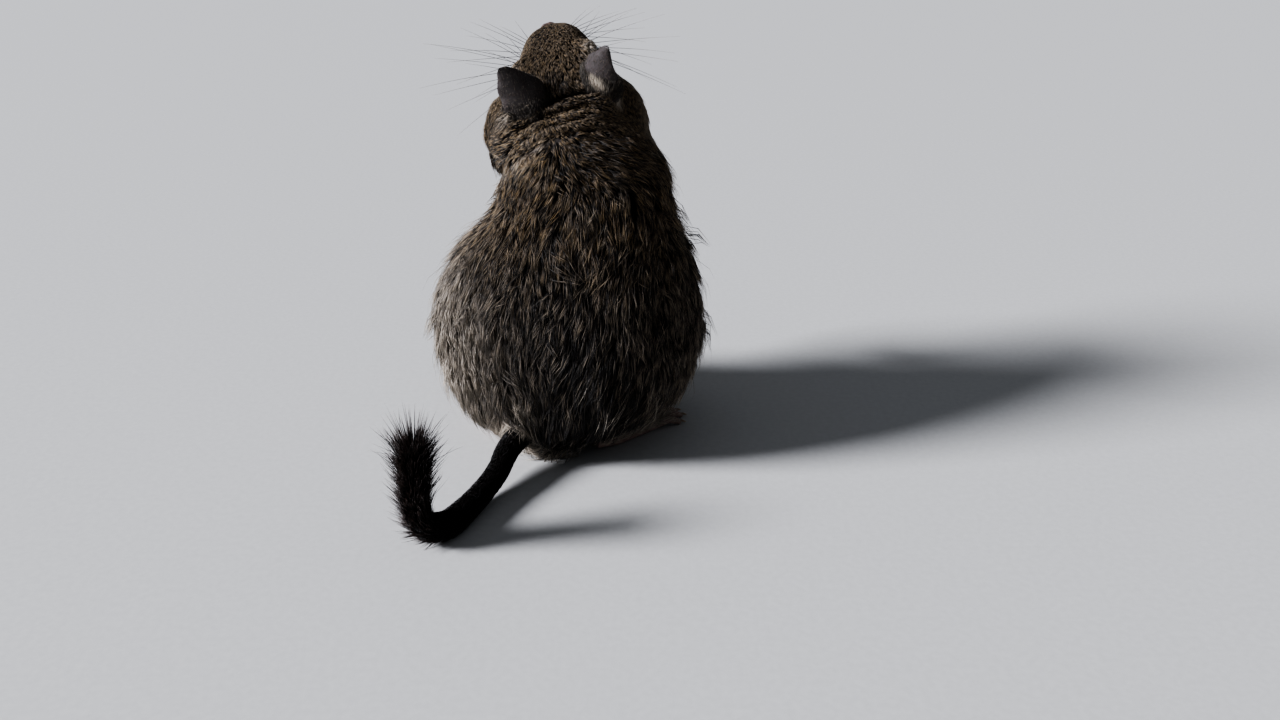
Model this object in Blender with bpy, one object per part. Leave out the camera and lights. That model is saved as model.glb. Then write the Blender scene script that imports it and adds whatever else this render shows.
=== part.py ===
"""A degu sitting up on its haunches, as a life-size still model in separate named solids.

The sizes here are millimetres, and every mesh is turned to metres when it is made. +Z is up, +Y is
the way that the animal faces and +X is its right. The origin is on the floor, under the rump.
The outer surface of each solid is the outer surface of the coat.
"""

import math
import random

import bmesh
import bpy
import numpy as np
from mathutils import Matrix, Vector

MM = 0.001
GAP = 0.3
UP = Vector((0.0, 0.0, 1.0))
SIDES = {"left": -1, "right": 1}

COLOURS = {
    "coat": ((0.105, 0.085, 0.062), 0.85),
    "ear_skin": ((0.050, 0.042, 0.044), 0.60),
    "foot_skin": ((0.230, 0.190, 0.170), 0.75),
    "tail_coat": ((0.012, 0.010, 0.010), 0.80),
    "eye": ((0.010, 0.007, 0.006), 0.08),
}

# Trunk: height, half width, back and front of the outline, seen square on before the pose.
TRUNK = (
    (-1.5, 17, -22, 13),
    (4.0, 27, -29.5, 23),
    (10.0, 34, -34.5, 28.5),
    (18.0, 40, -37.5, 32),
    (28.0, 43.5, -39, 34),
    (38.0, 44.0, -39, 34.5),
    (50.0, 43.0, -37, 33.5),
    (62.0, 38.0, -33, 32),
    (74.0, 29.5, -28, 30),
    (85.0, 27.0, -22, 28),
    (95.0, 24.0, -15, 26),
    (103.0, 19.0, -8, 22),
)
TRUNK_SQUARENESS = 2.1
# The share of its width that the front of the trunk loses, by height.
CHEST_NARROWING = ((0, 0.30), (30, 0.22), (55, 0.26), (75, 0.24), (103, 0.0))

# Pose: the pelvis is turned to the right under the chest, and the chest leans a little to the right.
PELVIS_TURN = math.radians(-12)
TURN_TOP, TURN_BOTTOM = 92.0, 35.0
SWAY = ((0, -2.5), (20, -0.6), (50, 0.3), (66, 2.6), (80, 6.0), (92, 5.2), (104, 1.8))

# Hind leg: the thigh from hip to knee, and the shank from knee to heel, under the coat.
THIGH = (((20.0, -10.0, 32.0), 17.0), ((27.5, 9.0, 31.0), 17.0), ((30.0, 24.0, 29.0), 11.0))
SHANK = (((29.5, 24.0, 25.0), 10.5), ((27.0, 11.0, 14.0), 10.5), ((20.0, -8.0, 8.0), 7.0))
# The thigh takes what lies inside this ellipsoid: its middle, radii and splay.
THIGH_REGION = (Vector((36.0, 10.0, 28.5)), Vector((19.0, 34.0, 26.5)), math.radians(-14))

# Foreleg: the upper arm belongs to the torso. Then the forearm from elbow to wrist.
UPPER_ARM = (((12.0, 10.0, 88.0), 9.0), ((19.0, 18.0, 73.0), 9.5), ((24.0, 24.0, 61.0), 7.8))
FOREARM = (
    ((23.5, 19.0, 60.5), 7.4),
    ((24.5, 28.0, 57.5), 7.2),
    ((19.5, 36.5, 59.0), 5.8),
    ((13.5, 41.5, 62.5), 4.5),
    ((9.5, 44.0, 66.0), 3.6),
)

# Head: its middle, and how far the nose is turned left, lifted, and the left ear dropped.
HEAD_MIDDLE = Vector((0.3, 13.0, 104.4))
HEAD_TURN_LEFT = math.radians(18)
HEAD_LIFT = math.radians(43)
HEAD_DROP_LEFT = math.radians(-25)

# Skull with its coat: distance forward of the head's middle, half width, top and bottom.
SKULL = (
    (-18.0, 8.0, 3.0, -9.0),
    (-13.0, 15.8, 10.0, -15.5),
    (-6.0, 19.4, 13.6, -18.5),
    (2.0, 19.4, 14.8, -18.0),
    (9.0, 17.2, 13.9, -16.0),
    (15.0, 15.0, 12.0, -14.2),
    (21.0, 12.8, 9.8, -13.0),
    (26.5, 10.6, 7.2, -11.2),
    (30.8, 8.0, 4.0, -8.8),
    (33.0, 4.4, 0.6, -5.6),
)
# The fur that bunches under the cheek on the side that the head drops to.
DROPPED_CHEEK = (Vector((-14.0, 11.0, 97.0)), Vector((13.0, 15.0, 15.5)))
EYE_CENTRE = Vector((12.8, 10.8, 4.4))
EYE_AXIS = Vector((0.90, 0.34, 0.27)).normalized()
EYE_RADIUS = 4.3
LID_RING = (4.5, 4.0)
LID_OUT = 1.9
LID_RADIUS = 0.85

# The mouth's right half from its middle out, the cleft from the nose down to it, and a nostril.
LIPS = ((0, 29.5, -9.0), (3.6, 27.0, -9.6), (7.0, 21.0, -9.9), (9.2, 15.0, -10.2))
CLEFT = ((0, 34.0, -2.2), (0, 33.5, -4.5), (0, 32.0, -6.8), (0, 29.5, -9.0))
NOSTRIL_SIZE = (0.55, 0.9, 0.95)

# Ears: where each is rooted on the head, the way that its tip points and the way that it opens.
EARS = {
    "left": ((-8.4, -6.4, 12.6), (-0.22, -0.02, 0.97), (-0.30, 0.95, 0.0)),
    "right": ((9.2, -3.2, 12.3), (0.12, -0.28, 0.95), (0.72, 0.69, 0.0)),
}
EAR_LENGTH = 18.6
# Share of an ear's length, half width, and half of the angle that it curls through.
EAR_SECTIONS = (
    (0.0, 6.0, 104),
    (0.16, 7.5, 82),
    (0.36, 7.8, 62),
    (0.58, 6.8, 50),
    (0.78, 4.8, 42),
    (0.92, 2.7, 34),
    (1.0, 0.9, 26),
)
EAR_WALL = 1.0
EAR_SUNK = 2.6
EAR_TIP_OUT = 6.4

TAIL_ROUTE = (
    (-5.0, -19.0, 17.0),
    (-13.0, -28.0, 12.0),
    (-18.3, -37.0, 8.4),
    (-20.7, -46.8, 5.8),
    (-24.0, -55.5, 4.3),
    (-28.2, -65.5, 3.7),
    (-32.2, -73.5, 3.9),
    (-36.4, -77.6, 6.0),
    (-38.8, -78.0, 12.0),
    (-39.0, -78.0, 19.5),
    (-38.4, -78.2, 30.0),
)
TAIL_RADII = (
    (0.0, 5.4),
    (0.20, 4.1),
    (0.45, 3.7),
    (0.60, 4.1),
    (0.71, 4.5),
    (0.82, 4.1),
    (0.93, 3.3),
    (1.0, 1.3),
)
TAIL_CUTS = (0.0, 0.33, 0.56, 0.74, 1.0)
TAIL_NODES = ("tail_root", "tail_middle", "tail_bend", "tail_tuft")

# Brush of the tail: flat locks, rooted inside the tail from the first to the last share of it.
BRUSH_SEED = 5
BRUSH_LOCKS = 44
BRUSH_FROM, BRUSH_TO = 0.74, 0.99
LOCK_LENGTH = (9.5, 13.5)
LOCK_WIDTH = (3.4, 4.8)
LOCK_LEAN = (20, 24)

# Hind foot: distance from the heel, half width and height of the coat over it.
FOOT = (
    (-2.0, 1.6, 4.0),
    (0.0, 3.6, 6.6),
    (7.0, 4.1, 7.8),
    (15.0, 4.4, 6.8),
    (21.0, 5.1, 5.6),
    (26.0, 5.4, 4.6),
    (28.5, 4.6, 3.6),
)
FOOT_HEEL = Vector((16.0, -16.0, 0.0))
FOOT_SPLAY = math.radians(37)
# Toes, inner to outer: sideways start, sideways end, start and end ahead of the heel.
TOES = (
    (-4.2, -6.4, 20.0, 27.5),
    (-3.0, -4.4, 24.0, 33.0),
    (-0.9, -1.2, 25.0, 34.8),
    (1.3, 2.3, 24.5, 33.8),
    (3.6, 5.7, 22.5, 30.0),
)
TOE_RADIUS = 1.85
CLAW_LENGTH = 3.2

# Forepaw: how the palm hangs from the wrist, and its fingers from the inner to the outer.
PAW_DOWN = Vector((-0.10, 0.34, -0.93)).normalized()
PALM_LENGTH = 6.0
FINGERS = ((-2.3, -3.4, 4.2), (-0.8, -1.2, 5.6), (0.8, 1.2, 5.4), (2.3, 3.4, 4.2))
FINGER_RADIUS = 1.15

NECK_FROM_HEAD = (Vector((-1.0, 9.0, 93.0)), Vector((0.06, -0.42, -0.91)).normalized())
TORSO_FROM_NECK = (Vector((3.0, 4.0, 83.0)), Vector((0.0, -0.20, -0.98)).normalized())

# Triangles in each node before the unions.
BUDGET = {
    "head": 1500,
    "neck": 340,
    "trunk": 2100,
    "hind_foot": 240,
    "forepaw": 200,
}


def smoothstep(value):
    """0 below 0, 1 above 1, and a smooth rise between."""
    value = min(max(value, 0.0), 1.0)
    return value * value * (3 - 2 * value)


def through(rows, at):
    """The row of values at one position, on a smooth curve through rows of (position, value...)."""
    rows = np.asarray(rows, float)
    keys, values = rows[:, 0], rows[:, 1:]
    slopes = np.gradient(values, keys, axis=0)
    at = min(max(at, keys[0]), keys[-1])
    i = min(int(np.searchsorted(keys, at, side="right")) - 1, len(keys) - 2)
    span = keys[i + 1] - keys[i]
    t = (at - keys[i]) / span
    return (
        (2 * t**3 - 3 * t**2 + 1) * values[i]
        + (t**3 - 2 * t**2 + t) * span * slopes[i]
        + (3 * t**2 - 2 * t**3) * values[i + 1]
        + (t**3 - t**2) * span * slopes[i + 1]
    )


def route_points(points, count):
    """Evenly numbered points along a smooth curve through a few given ones."""
    points = [Vector(p) for p in points]
    lengths = [0.0]
    for a, b in zip(points, points[1:]):
        lengths.append(lengths[-1] + (b - a).length)
    rows = [(along / lengths[-1], *p) for along, p in zip(lengths, points)]
    return [Vector(through(rows, i / (count - 1))) for i in range(count)]


def material(name):
    """The plain finish of one kind of surface."""
    found = bpy.data.materials.get(name)
    if found:
        return found
    made = bpy.data.materials.new(name)
    made.use_nodes = True
    colour, roughness = COLOURS[name]
    shader = made.node_tree.nodes["Principled BSDF"]
    shader.inputs["Base Color"].default_value = (*colour, 1.0)
    shader.inputs["Roughness"].default_value = roughness
    shader.inputs["Metallic"].default_value = 0.0
    made.diffuse_color = (*colour, 1.0)
    return made


def object_from(name, points, faces, finish):
    """A mesh object from points in millimetres, with its faces turned outwards."""
    mesh = bpy.data.meshes.new(name)
    mesh.from_pydata([tuple(Vector(p) * MM) for p in points], [], faces)
    work = bmesh.new()
    work.from_mesh(mesh)
    bmesh.ops.recalc_face_normals(work, faces=work.faces)
    if work.calc_volume(signed=True) < 0:
        bmesh.ops.reverse_faces(work, faces=work.faces)
    work.to_mesh(mesh)
    work.free()
    mesh.shade_smooth()
    mesh.materials.append(material(finish))
    made = bpy.data.objects.new(name, mesh)
    bpy.context.scene.collection.objects.link(made)
    return made


def loft(rings):
    """Points and faces of a closed skin over rings of equal count, each end closed by a fan."""
    count = len(rings[0])
    points = [p for ring in rings for p in ring]
    faces = []
    for r in range(len(rings) - 1):
        for i in range(count):
            j = (i + 1) % count
            faces.append((r * count + i, r * count + j, (r + 1) * count + j, (r + 1) * count + i))
    for ring, first in ((rings[0], 0), (rings[-1], (len(rings) - 1) * count)):
        middle = len(points)
        points.append(sum((Vector(p) for p in ring), Vector()) / count)
        faces += [(first + i, first + (i + 1) % count, middle) for i in range(count)]
    return points, faces


def ellipsoid(centre, radii, turn=None, columns=32, rows=16):
    """Points and faces of an ellipsoid, turned by a 3x3 matrix about its centre."""
    work = bmesh.new()
    bmesh.ops.create_uvsphere(work, u_segments=columns, v_segments=rows, radius=1.0)
    turn = turn or Matrix.Identity(3)
    centre = Vector(centre)
    points = [centre + turn @ Vector(a * b for a, b in zip(v.co, radii)) for v in work.verts]
    faces = [tuple(v.index for v in f.verts) for f in work.faces]
    work.free()
    return points, faces


def tube_frames(points):
    """(point, side, rise) along a route, with the cross directions carried on without a twist."""
    frames = []
    side = None
    for i, p in enumerate(points):
        ahead = (points[min(i + 1, len(points) - 1)] - points[max(i - 1, 0)]).normalized()
        side = ahead.cross(UP) if side is None else side - ahead * side.dot(ahead)
        side.normalize()
        frames.append((p, side.copy(), side.cross(ahead).normalized()))
    return frames


def tube(points, radii, columns=16, flat=1.0):
    """Points and faces of a round or flattened tube along points, with a radius at each."""
    rings = []
    for (p, side, rise), radius in zip(tube_frames(points), radii):
        angles = (2 * math.pi * i / columns for i in range(columns))
        rings.append(
            [p + side * radius * math.cos(a) + rise * radius * flat * math.sin(a) for a in angles]
        )
    return loft(rings)


def moved(shape, place):
    """A shape with each of its points put through place."""
    points, faces = shape
    return [place(Vector(p)) for p in points], faces


def sway_at(height):
    """How far the body's middle leans to the right at a height."""
    return float(through(SWAY, height)[0])


def posed(p):
    """A point of the square, upright trunk carried to where the pose puts it."""
    turn = PELVIS_TURN * smoothstep((TURN_TOP - p.z) / (TURN_TOP - TURN_BOTTOM))
    q = Matrix.Rotation(turn, 3, "Z") @ p
    return Vector((q.x + sway_at(p.z), q.y, q.z))


def head_matrix():
    """From the head's own axes (nose along +Y, crown along +Z) to the model's."""
    return (
        Matrix.Translation(HEAD_MIDDLE)
        @ Matrix.Rotation(HEAD_TURN_LEFT, 4, "Z")
        @ Matrix.Rotation(HEAD_LIFT, 4, "X")
        @ Matrix.Rotation(HEAD_DROP_LEFT, 4, "Y")
    )


def on_head(p):
    """A point in the head's own axes carried to the model's."""
    return head_matrix() @ Vector(p)


def on_side(p, sign):
    """A point given for the right side, put on one side."""
    return Vector((p[0] * sign, p[1], p[2]))


def baked(made):
    """Applies an object's modifiers and returns it."""
    graph = bpy.context.evaluated_depsgraph_get()
    mesh = bpy.data.meshes.new_from_object(made.evaluated_get(graph))
    made.modifiers.clear()
    old, made.data = made.data, mesh
    bpy.data.meshes.remove(old)
    return made


def joined(name, shapes, finish):
    """One object that holds several closed shapes, still crossing each other."""
    points, faces = [], []
    for more_points, more_faces in shapes:
        first = len(points)
        points += more_points
        faces += [tuple(i + first for i in face) for face in more_faces]
    mesh = bpy.data.meshes.new(name)
    mesh.from_pydata([tuple(Vector(p) * MM) for p in points], [], faces)
    mesh.materials.append(material(finish))
    made = bpy.data.objects.new(name, mesh)
    bpy.context.scene.collection.objects.link(made)
    return made


def taken(made):
    """The points and faces of an object, which is removed."""
    points = [v.co / MM for v in made.data.vertices]
    faces = [tuple(face.vertices) for face in made.data.polygons]
    remove(made)
    return points, faces


def melted(made, voxel, rounds):
    """Runs crossing shapes together into one skin, then smooths their meeting lines."""
    remesh = made.modifiers.new("melt", "REMESH")
    remesh.mode = "VOXEL"
    remesh.voxel_size = voxel * MM
    smooth = made.modifiers.new("smooth", "SMOOTH")
    smooth.factor = 0.5
    smooth.iterations = rounds
    return baked(made)


def thinned(made, triangles):
    """Collapses edges until about this many triangles are left."""
    made.data.calc_loop_triangles()
    thin = made.modifiers.new("thin", "DECIMATE")
    thin.ratio = triangles / len(made.data.loop_triangles)
    thin.use_collapse_triangulate = True
    baked(made)
    return only_largest(made)


def volume_of(triangles):
    """Six times the volume that a closed set of triangles holds."""
    total = 0.0
    for face in triangles:
        a, b, c = (v.co for v in face.verts)
        total += a.dot(b.cross(c))
    return abs(total)


def only_largest(made):
    """Keeps the closed surface with the largest volume, and triangulates it."""
    work = bmesh.new()
    work.from_mesh(made.data)
    bmesh.ops.triangulate(work, faces=work.faces)
    left, pieces = set(work.faces), []
    while left:
        piece, edge = set(), [left.pop()]
        while edge:
            face = edge.pop()
            piece.add(face)
            near = {f for e in face.edges for f in e.link_faces}
            edge += near & left
            left -= near
        pieces.append(piece)
    pieces.sort(key=volume_of)
    drop = [f for piece in pieces[:-1] for f in piece]
    bmesh.ops.delete(work, geom=drop, context="FACES")
    work.to_mesh(made.data)
    work.free()
    made.data.shade_smooth()
    return made


def copy_of(made, name):
    """A copy of an object with its own mesh."""
    twin = bpy.data.objects.new(name, made.data.copy())
    bpy.context.scene.collection.objects.link(twin)
    return twin


def remove(*objects):
    """Takes helper objects and their meshes out of the file."""
    for made in objects:
        mesh = made.data
        bpy.data.objects.remove(made)
        bpy.data.meshes.remove(mesh)


def sliced(made, point, normal):
    """Keeps what lies behind a plane, and closes the cut with a flat face."""
    work = bmesh.new()
    work.from_mesh(made.data)
    geometry = work.verts[:] + work.edges[:] + work.faces[:]
    bmesh.ops.bisect_plane(
        work,
        geom=geometry,
        plane_co=Vector(point) * MM,
        plane_no=Vector(normal),
        clear_outer=True,
    )
    rim = [e for e in work.edges if e.is_boundary]
    bmesh.ops.holes_fill(work, edges=rim, sides=0)
    bmesh.ops.recalc_face_normals(work, faces=work.faces)
    bmesh.ops.triangulate(work, faces=work.faces)
    work.to_mesh(made.data)
    work.free()
    return made


def grown(made, by):
    """A copy whose surface lies outside the first by a distance."""
    twin = copy_of(made, "grown")
    work = bmesh.new()
    work.from_mesh(twin.data)
    work.normal_update()
    for v, normal in [(v, v.normal.copy()) for v in work.verts]:
        v.co += normal * by * MM
    work.to_mesh(twin.data)
    work.free()
    return twin


def combined(made, other, operation):
    """Applies one Boolean with another object."""
    step = made.modifiers.new(operation.lower(), "BOOLEAN")
    step.operation = operation
    step.solver = "EXACT"
    step.object = other
    return only_largest(baked(made))


def fused(made, others):
    """Joins several closed objects to one by a single Boolean union, and removes them."""
    group = bpy.data.collections.new("fuse")
    bpy.context.scene.collection.children.link(group)
    for other in others:
        bpy.context.scene.collection.objects.unlink(other)
        group.objects.link(other)
    step = made.modifiers.new("fuse", "BOOLEAN")
    step.operation = "UNION"
    step.operand_type = "COLLECTION"
    step.collection = group
    step.solver = "EXACT"
    baked(made)
    remove(*others)
    bpy.data.collections.remove(group)
    return only_largest(made)


def trunk_shape():
    """The chest, belly, back and rump as one tall loft, already posed."""
    rings = []
    heights = np.linspace(TRUNK[0][0], TRUNK[-1][0], 40)
    for height in heights:
        half_width, back, front = through(TRUNK, height)
        narrowing = float(through(CHEST_NARROWING, height)[0])
        middle, half_depth = (back + front) / 2, (front - back) / 2
        ring = []
        for i in range(48):
            a = 2 * math.pi * i / 48
            c, s = math.cos(a), math.sin(a)
            power = 2 / TRUNK_SQUARENESS
            x = half_width * math.copysign(abs(c) ** power, c) * (1 - narrowing * max(s, 0) ** 2)
            y = middle + half_depth * math.copysign(abs(s) ** power, s)
            ring.append(posed(Vector((x, y, height))))
        rings.append(ring)
    return loft(rings)


def limb_shape(stations, sign, count=13, columns=20):
    """A rounded limb through (point, radius) stations given for the right side, posed."""
    points = route_points([posed(on_side(p, sign)) for p, _ in stations], count)
    keys = [(i / (len(stations) - 1), radius) for i, (_, radius) in enumerate(stations)]
    radii = [float(through(keys, i / (count - 1))[0]) for i in range(count)]
    return tube(points, radii, columns)


def rounded_limb_shapes(stations, sign):
    """A limb's tube with a ball at each end, for melting into the trunk."""
    ends = [(posed(on_side(p, sign)), radius) for p, radius in (stations[0], stations[-1])]
    return [limb_shape(stations, sign)] + [ellipsoid(p, (radius,) * 3) for p, radius in ends]


def neck_shape():
    """The thick neck between the chest and the back of the head."""
    low = posed(Vector((0, 3, 86)))
    high = on_head((0, -7, -3))
    points = [low.lerp(high, i / 6) for i in range(7)]
    radii = [21.5 - 1.2 * i / 6 for i in range(7)]
    return tube(points, radii, 32, 0.86)


def skull_shape():
    """The head's main mass, from the back of the skull to the tip of the nose."""
    rings = []
    for forward in np.linspace(SKULL[0][0], SKULL[-1][0], 36):
        half_width, top, bottom = through(SKULL, forward)
        middle = (top + bottom) / 2
        half_height = (top - bottom) / 2
        ring = []
        for i in range(40):
            a = 2 * math.pi * i / 40
            ring.append(
                on_head((half_width * math.cos(a), forward, middle + half_height * math.sin(a)))
            )
        rings.append(ring)
    return loft(rings)


def face_shapes():
    """Cheeks, whisker pads, brows, chin and nose pad, which the skull's loft leaves out."""
    lumps = [
        ((0, 31.0, 0.6), (3.0, 2.5, 2.3)),
        ((0, 19.5, -12.0), (5.2, 8.0, 3.8)),
        ((0, 27.0, -7.6), (4.4, 4.8, 3.4)),
    ]
    for sign in SIDES.values():
        lumps += [
            ((13.2 * sign, -4.5, -7.5), (10.4, 16.0, 12.5)),
            ((5.4 * sign, 25.0, -5.0), (5.4, 6.8, 5.0)),
            ((10.2 * sign, 9.5, 6.8), (5.0, 9.5, 5.2)),
            ((10.6 * sign, 11.0, -3.0), (6.6, 11.0, 7.4)),
            ((10.4 * sign, -4.5, 7.4), (6.6, 8.0, 6.4)),
        ]
    turn = head_matrix().to_3x3()
    shapes = [ellipsoid(on_head(centre), radii, turn) for centre, radii in lumps]
    return shapes + [ellipsoid(*DROPPED_CHEEK)]


def eye(side):
    """One dark eyeball, which shows about a third of itself."""
    centre = on_head(on_side(EYE_CENTRE, SIDES[side]))
    turn = head_matrix().to_3x3() @ Matrix.Rotation(math.radians(90), 3, "Y")
    return object_from(f"eye_{side}", *ellipsoid(centre, (EYE_RADIUS,) * 3, turn, 16, 9), "eye")


def lid_ring(side):
    """The rolled rim of both lids round one eye, in the head's axes until it is placed."""
    sign = SIDES[side]
    axis = on_side(EYE_AXIS, sign)
    ahead = (Vector((0, 1, 0)) - axis * axis.y).normalized()
    rise = axis.cross(ahead) * sign
    middle = on_side(EYE_CENTRE, sign) + axis * LID_OUT
    points, faces = [], []
    around, section = 22, 6
    for i in range(around):
        a = 2 * math.pi * i / around
        out = ahead * math.cos(a) * LID_RING[0] + rise * math.sin(a) * LID_RING[1]
        outward = out.normalized()
        for j in range(section):
            b = 2 * math.pi * j / section
            points.append(
                on_head(middle + out + (outward * math.cos(b) + axis * math.sin(b)) * LID_RADIUS)
            )
    for i in range(around):
        for j in range(section):
            k, m = (i + 1) % around, (j + 1) % section
            faces.append(
                (i * section + j, k * section + j, k * section + m, i * section + m)
            )
    return object_from("lid", points, faces, "coat")


def on_skin(head, p):
    """The point of the head's surface nearest to a point in the head's axes, in millimetres."""
    found = head.closest_point_on_mesh(on_head(p) * MM)
    return Vector(found[1]) / MM


def mouth_cutters(head):
    """The grooves of the mouth and of the cleft under the nose, and the two nostrils."""
    half_lips = [Vector(p) for p in LIPS]
    lips = [on_side(p, -1) for p in half_lips[:0:-1]] + half_lips
    cutters = []
    for line, radius in ((lips, 0.55), (CLEFT, 0.42)):
        points = route_points([on_skin(head, p) for p in line], 5 * len(line) // 2)
        cutters.append(object_from("groove", *tube(points, [radius] * len(points), 6), "coat"))
    turn = head_matrix().to_3x3()
    for sign in SIDES.values():
        tilt = turn @ Matrix.Rotation(math.radians(35 * sign), 3, "Y")
        middle = on_skin(head, (1.5 * sign, 33.4, -0.2))
        shape = ellipsoid(middle, NOSTRIL_SIZE, tilt, 8, 6)
        cutters.append(object_from("nostril", *shape, "coat"))
    return cutters


def head_node(body):
    """The head, cut from the fine body and given its lids, eye sockets, mouth and nostrils."""
    point, normal = NECK_FROM_HEAD
    head = sliced(copy_of(body, "head"), point - normal * GAP / 2, normal)
    thinned(head, BUDGET["head"])
    fused(head, [lid_ring(side) for side in SIDES])
    cutters = mouth_cutters(head)
    for sign in SIDES.values():
        centre = on_head(on_side(EYE_CENTRE, sign))
        turn = head_matrix().to_3x3() @ Matrix.Rotation(math.radians(90), 3, "Y")
        size = (EYE_RADIUS + GAP,) * 3
        cutters.append(object_from("socket", *ellipsoid(centre, size, turn, 16, 9), "coat"))
    for cutter in cutters:
        combined(head, cutter, "DIFFERENCE")
    remove(*cutters)
    return head


def ear_matrix(side):
    """From an ear's own axes (length along +Z, open side along +Y) to the model's."""
    root, tip_way, open_way = EARS[side]
    rise = Vector(tip_way).normalized()
    opening = Vector(open_way)
    opening = (opening - rise * opening.dot(rise)).normalized()
    across = opening.cross(rise)
    place = Matrix((across, opening, rise)).transposed().to_4x4()
    place.translation = on_head(root) - rise * EAR_SUNK
    return place


def ear(side):
    """One thin, cupped ear, which starts inside the head."""
    sign = SIDES[side]
    along, across = 9, 8
    outer, inner = [], []
    place = ear_matrix(side)
    for i in range(along + 1):
        share = i / along
        half_width, curl = through(EAR_SECTIONS, share)
        curl = math.radians(curl)
        radius = half_width / math.sin(min(curl, math.pi / 2))
        shift = Vector((EAR_TIP_OUT * share**2 * sign, 0, EAR_LENGTH * share))
        for j in range(across + 1):
            a = curl * (2 * j / across - 1)
            for r, layer in ((radius + EAR_WALL / 2, outer), (radius - EAR_WALL / 2, inner)):
                p = Vector((r * math.sin(a), radius - r * math.cos(a), 0))
                layer.append(place @ (p + shift))
    size = across + 1
    points = outer + inner
    back = len(outer)
    faces = []
    for i in range(along):
        for j in range(across):
            a, b = i * size + j, i * size + j + 1
            c, d = b + size, a + size
            faces += [(a, b, c), (a, c, d)]
            faces += [(back + a, back + c, back + b), (back + a, back + d, back + c)]
    edge = list(range(size))
    edge += [i * size + across for i in range(1, along + 1)]
    edge += [along * size + j for j in range(across - 1, -1, -1)]
    edge += [i * size for i in range(along - 1, 0, -1)]
    for a, b in zip(edge, edge[1:] + edge[:1]):
        faces += [(a, back + a, back + b), (a, back + b, b)]
    return object_from(f"ear_{side}", points, faces, "ear_skin")


def claw(start, ahead, down, length, radius):
    """A short claw, curved down to a blunt point."""
    shares = (-0.35, 0.4, 1.0)
    points = [start + ahead * length * t + down * length * 0.35 * t * t for t in shares]
    return object_from("claw", *tube(points, [radius, radius, 0.22], 5), "foot_skin")


def foot_place(sign, p):
    """A point in a hind foot's own axes (toes along +Y) carried to the model's."""
    q = Matrix.Rotation(-FOOT_SPLAY * sign, 3, "Z") @ on_side(p, sign)
    return posed(q + on_side(FOOT_HEEL, sign))


def foot_loft(sign):
    """The sole, heel and instep of a hind foot, without toes."""
    rings = []
    for ahead, half_width, height in FOOT:
        ring = []
        for i in range(16):
            a = 2 * math.pi * i / 16
            x = half_width * math.cos(a)
            z = height / 2 - 0.5 + (height / 2 + 0.5) * math.sin(a)
            ring.append(foot_place(sign, Vector((x, ahead, z))))
        rings.append(ring)
    return loft(rings)


def hind_foot(side):
    """A long hind foot flat on the floor, with five clawed toes."""
    sign = SIDES[side]
    shapes, claws = [foot_loft(sign)], []
    for inner, outer, start, end in TOES:
        root = Vector((inner, start, 1.6))
        knuckle = Vector(((inner + outer) / 2, (start + end) / 2, 2.2))
        tip = Vector((outer, end, 1.3))
        points = [foot_place(sign, p) for p in route_points([root, knuckle, tip], 7)]
        radii = [TOE_RADIUS * k for k in (1.0, 1.0, 0.95, 0.95, 0.9, 0.85, 0.5)]
        shapes.append(tube(points, radii, 10))
        ahead = (points[-1] - points[-2]).normalized()
        claws.append(claw(points[-2] + UP * 0.2, ahead, -UP, CLAW_LENGTH, 0.7))
    made = melted(joined(f"hind_foot_{side}", shapes, "foot_skin"), 0.45, 3)
    thinned(made, BUDGET["hind_foot"])
    fused(made, claws)
    return only_largest(sliced(made, (0, 0, 0), -UP))


def foreleg(side):
    """The forearm in its sleeve of fur, from the elbow to the wrist."""
    return object_from(f"foreleg_{side}", *limb_shape(FOREARM, SIDES[side], 11, 14), "coat")


def forepaw(side):
    """A small hand hanging from the wrist, with four clawed fingers."""
    sign = SIDES[side]
    before, wrist = [posed(on_side(p, sign)) for p, _ in FOREARM[-2:]]
    ahead = (wrist - before).normalized()
    down = on_side(PAW_DOWN, sign)
    across = ahead.cross(down).normalized()
    palm_end = wrist + ahead * 3.0 + down * PALM_LENGTH
    route = [wrist - ahead * 1.5, wrist + ahead * 1.5, wrist + ahead * 3.0 + down * 2.4, palm_end]
    radius = FOREARM[-1][1]
    radii = [float(r) for r in np.linspace(radius, radius * 0.86, 9)]
    shapes, claws = [tube(route_points(route, 9), radii, 14, 0.8)], []
    for start, end, length in FINGERS:
        root = palm_end - down * 1.0 + across * start
        knuckle = root + down * (length * 0.55) + ahead * 0.7 + across * (end - start) * 0.6
        tip = root + down * (length + 0.6) - ahead * 0.2 + across * (end - start)
        points = route_points([root, knuckle, tip], 6)
        shapes.append(tube(points, [FINGER_RADIUS * k for k in (1, 1, 1, 0.95, 0.85, 0.6)], 8))
        way = (points[-1] - points[-2]).normalized()
        claws.append(claw(points[-2], way, -ahead, 2.0, 0.45))
    made = melted(joined(f"forepaw_{side}", shapes, "foot_skin"), 0.4, 3)
    thinned(made, BUDGET["forepaw"])
    fused(made, claws)
    return only_largest(sliced(made, wrist + ahead * GAP, -ahead))


def lock(root, ahead, outward, length, width):
    """One flat lock of hair: a blade that tapers to a point and bends outwards."""
    across = ahead.cross(outward).normalized()
    rings = []
    for t, share in ((0.0, 0.7), (0.3, 1.0), (0.65, 0.62), (1.0, 0.08)):
        middle = root + ahead * length * t + outward * length * 0.16 * t * t
        half, thick = across * width / 2 * share, outward * width * 0.16 * share
        rings.append([middle + half, middle + thick, middle - half, middle - thick])
    return object_from("lock", *loft(rings), "tail_coat")


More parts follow.
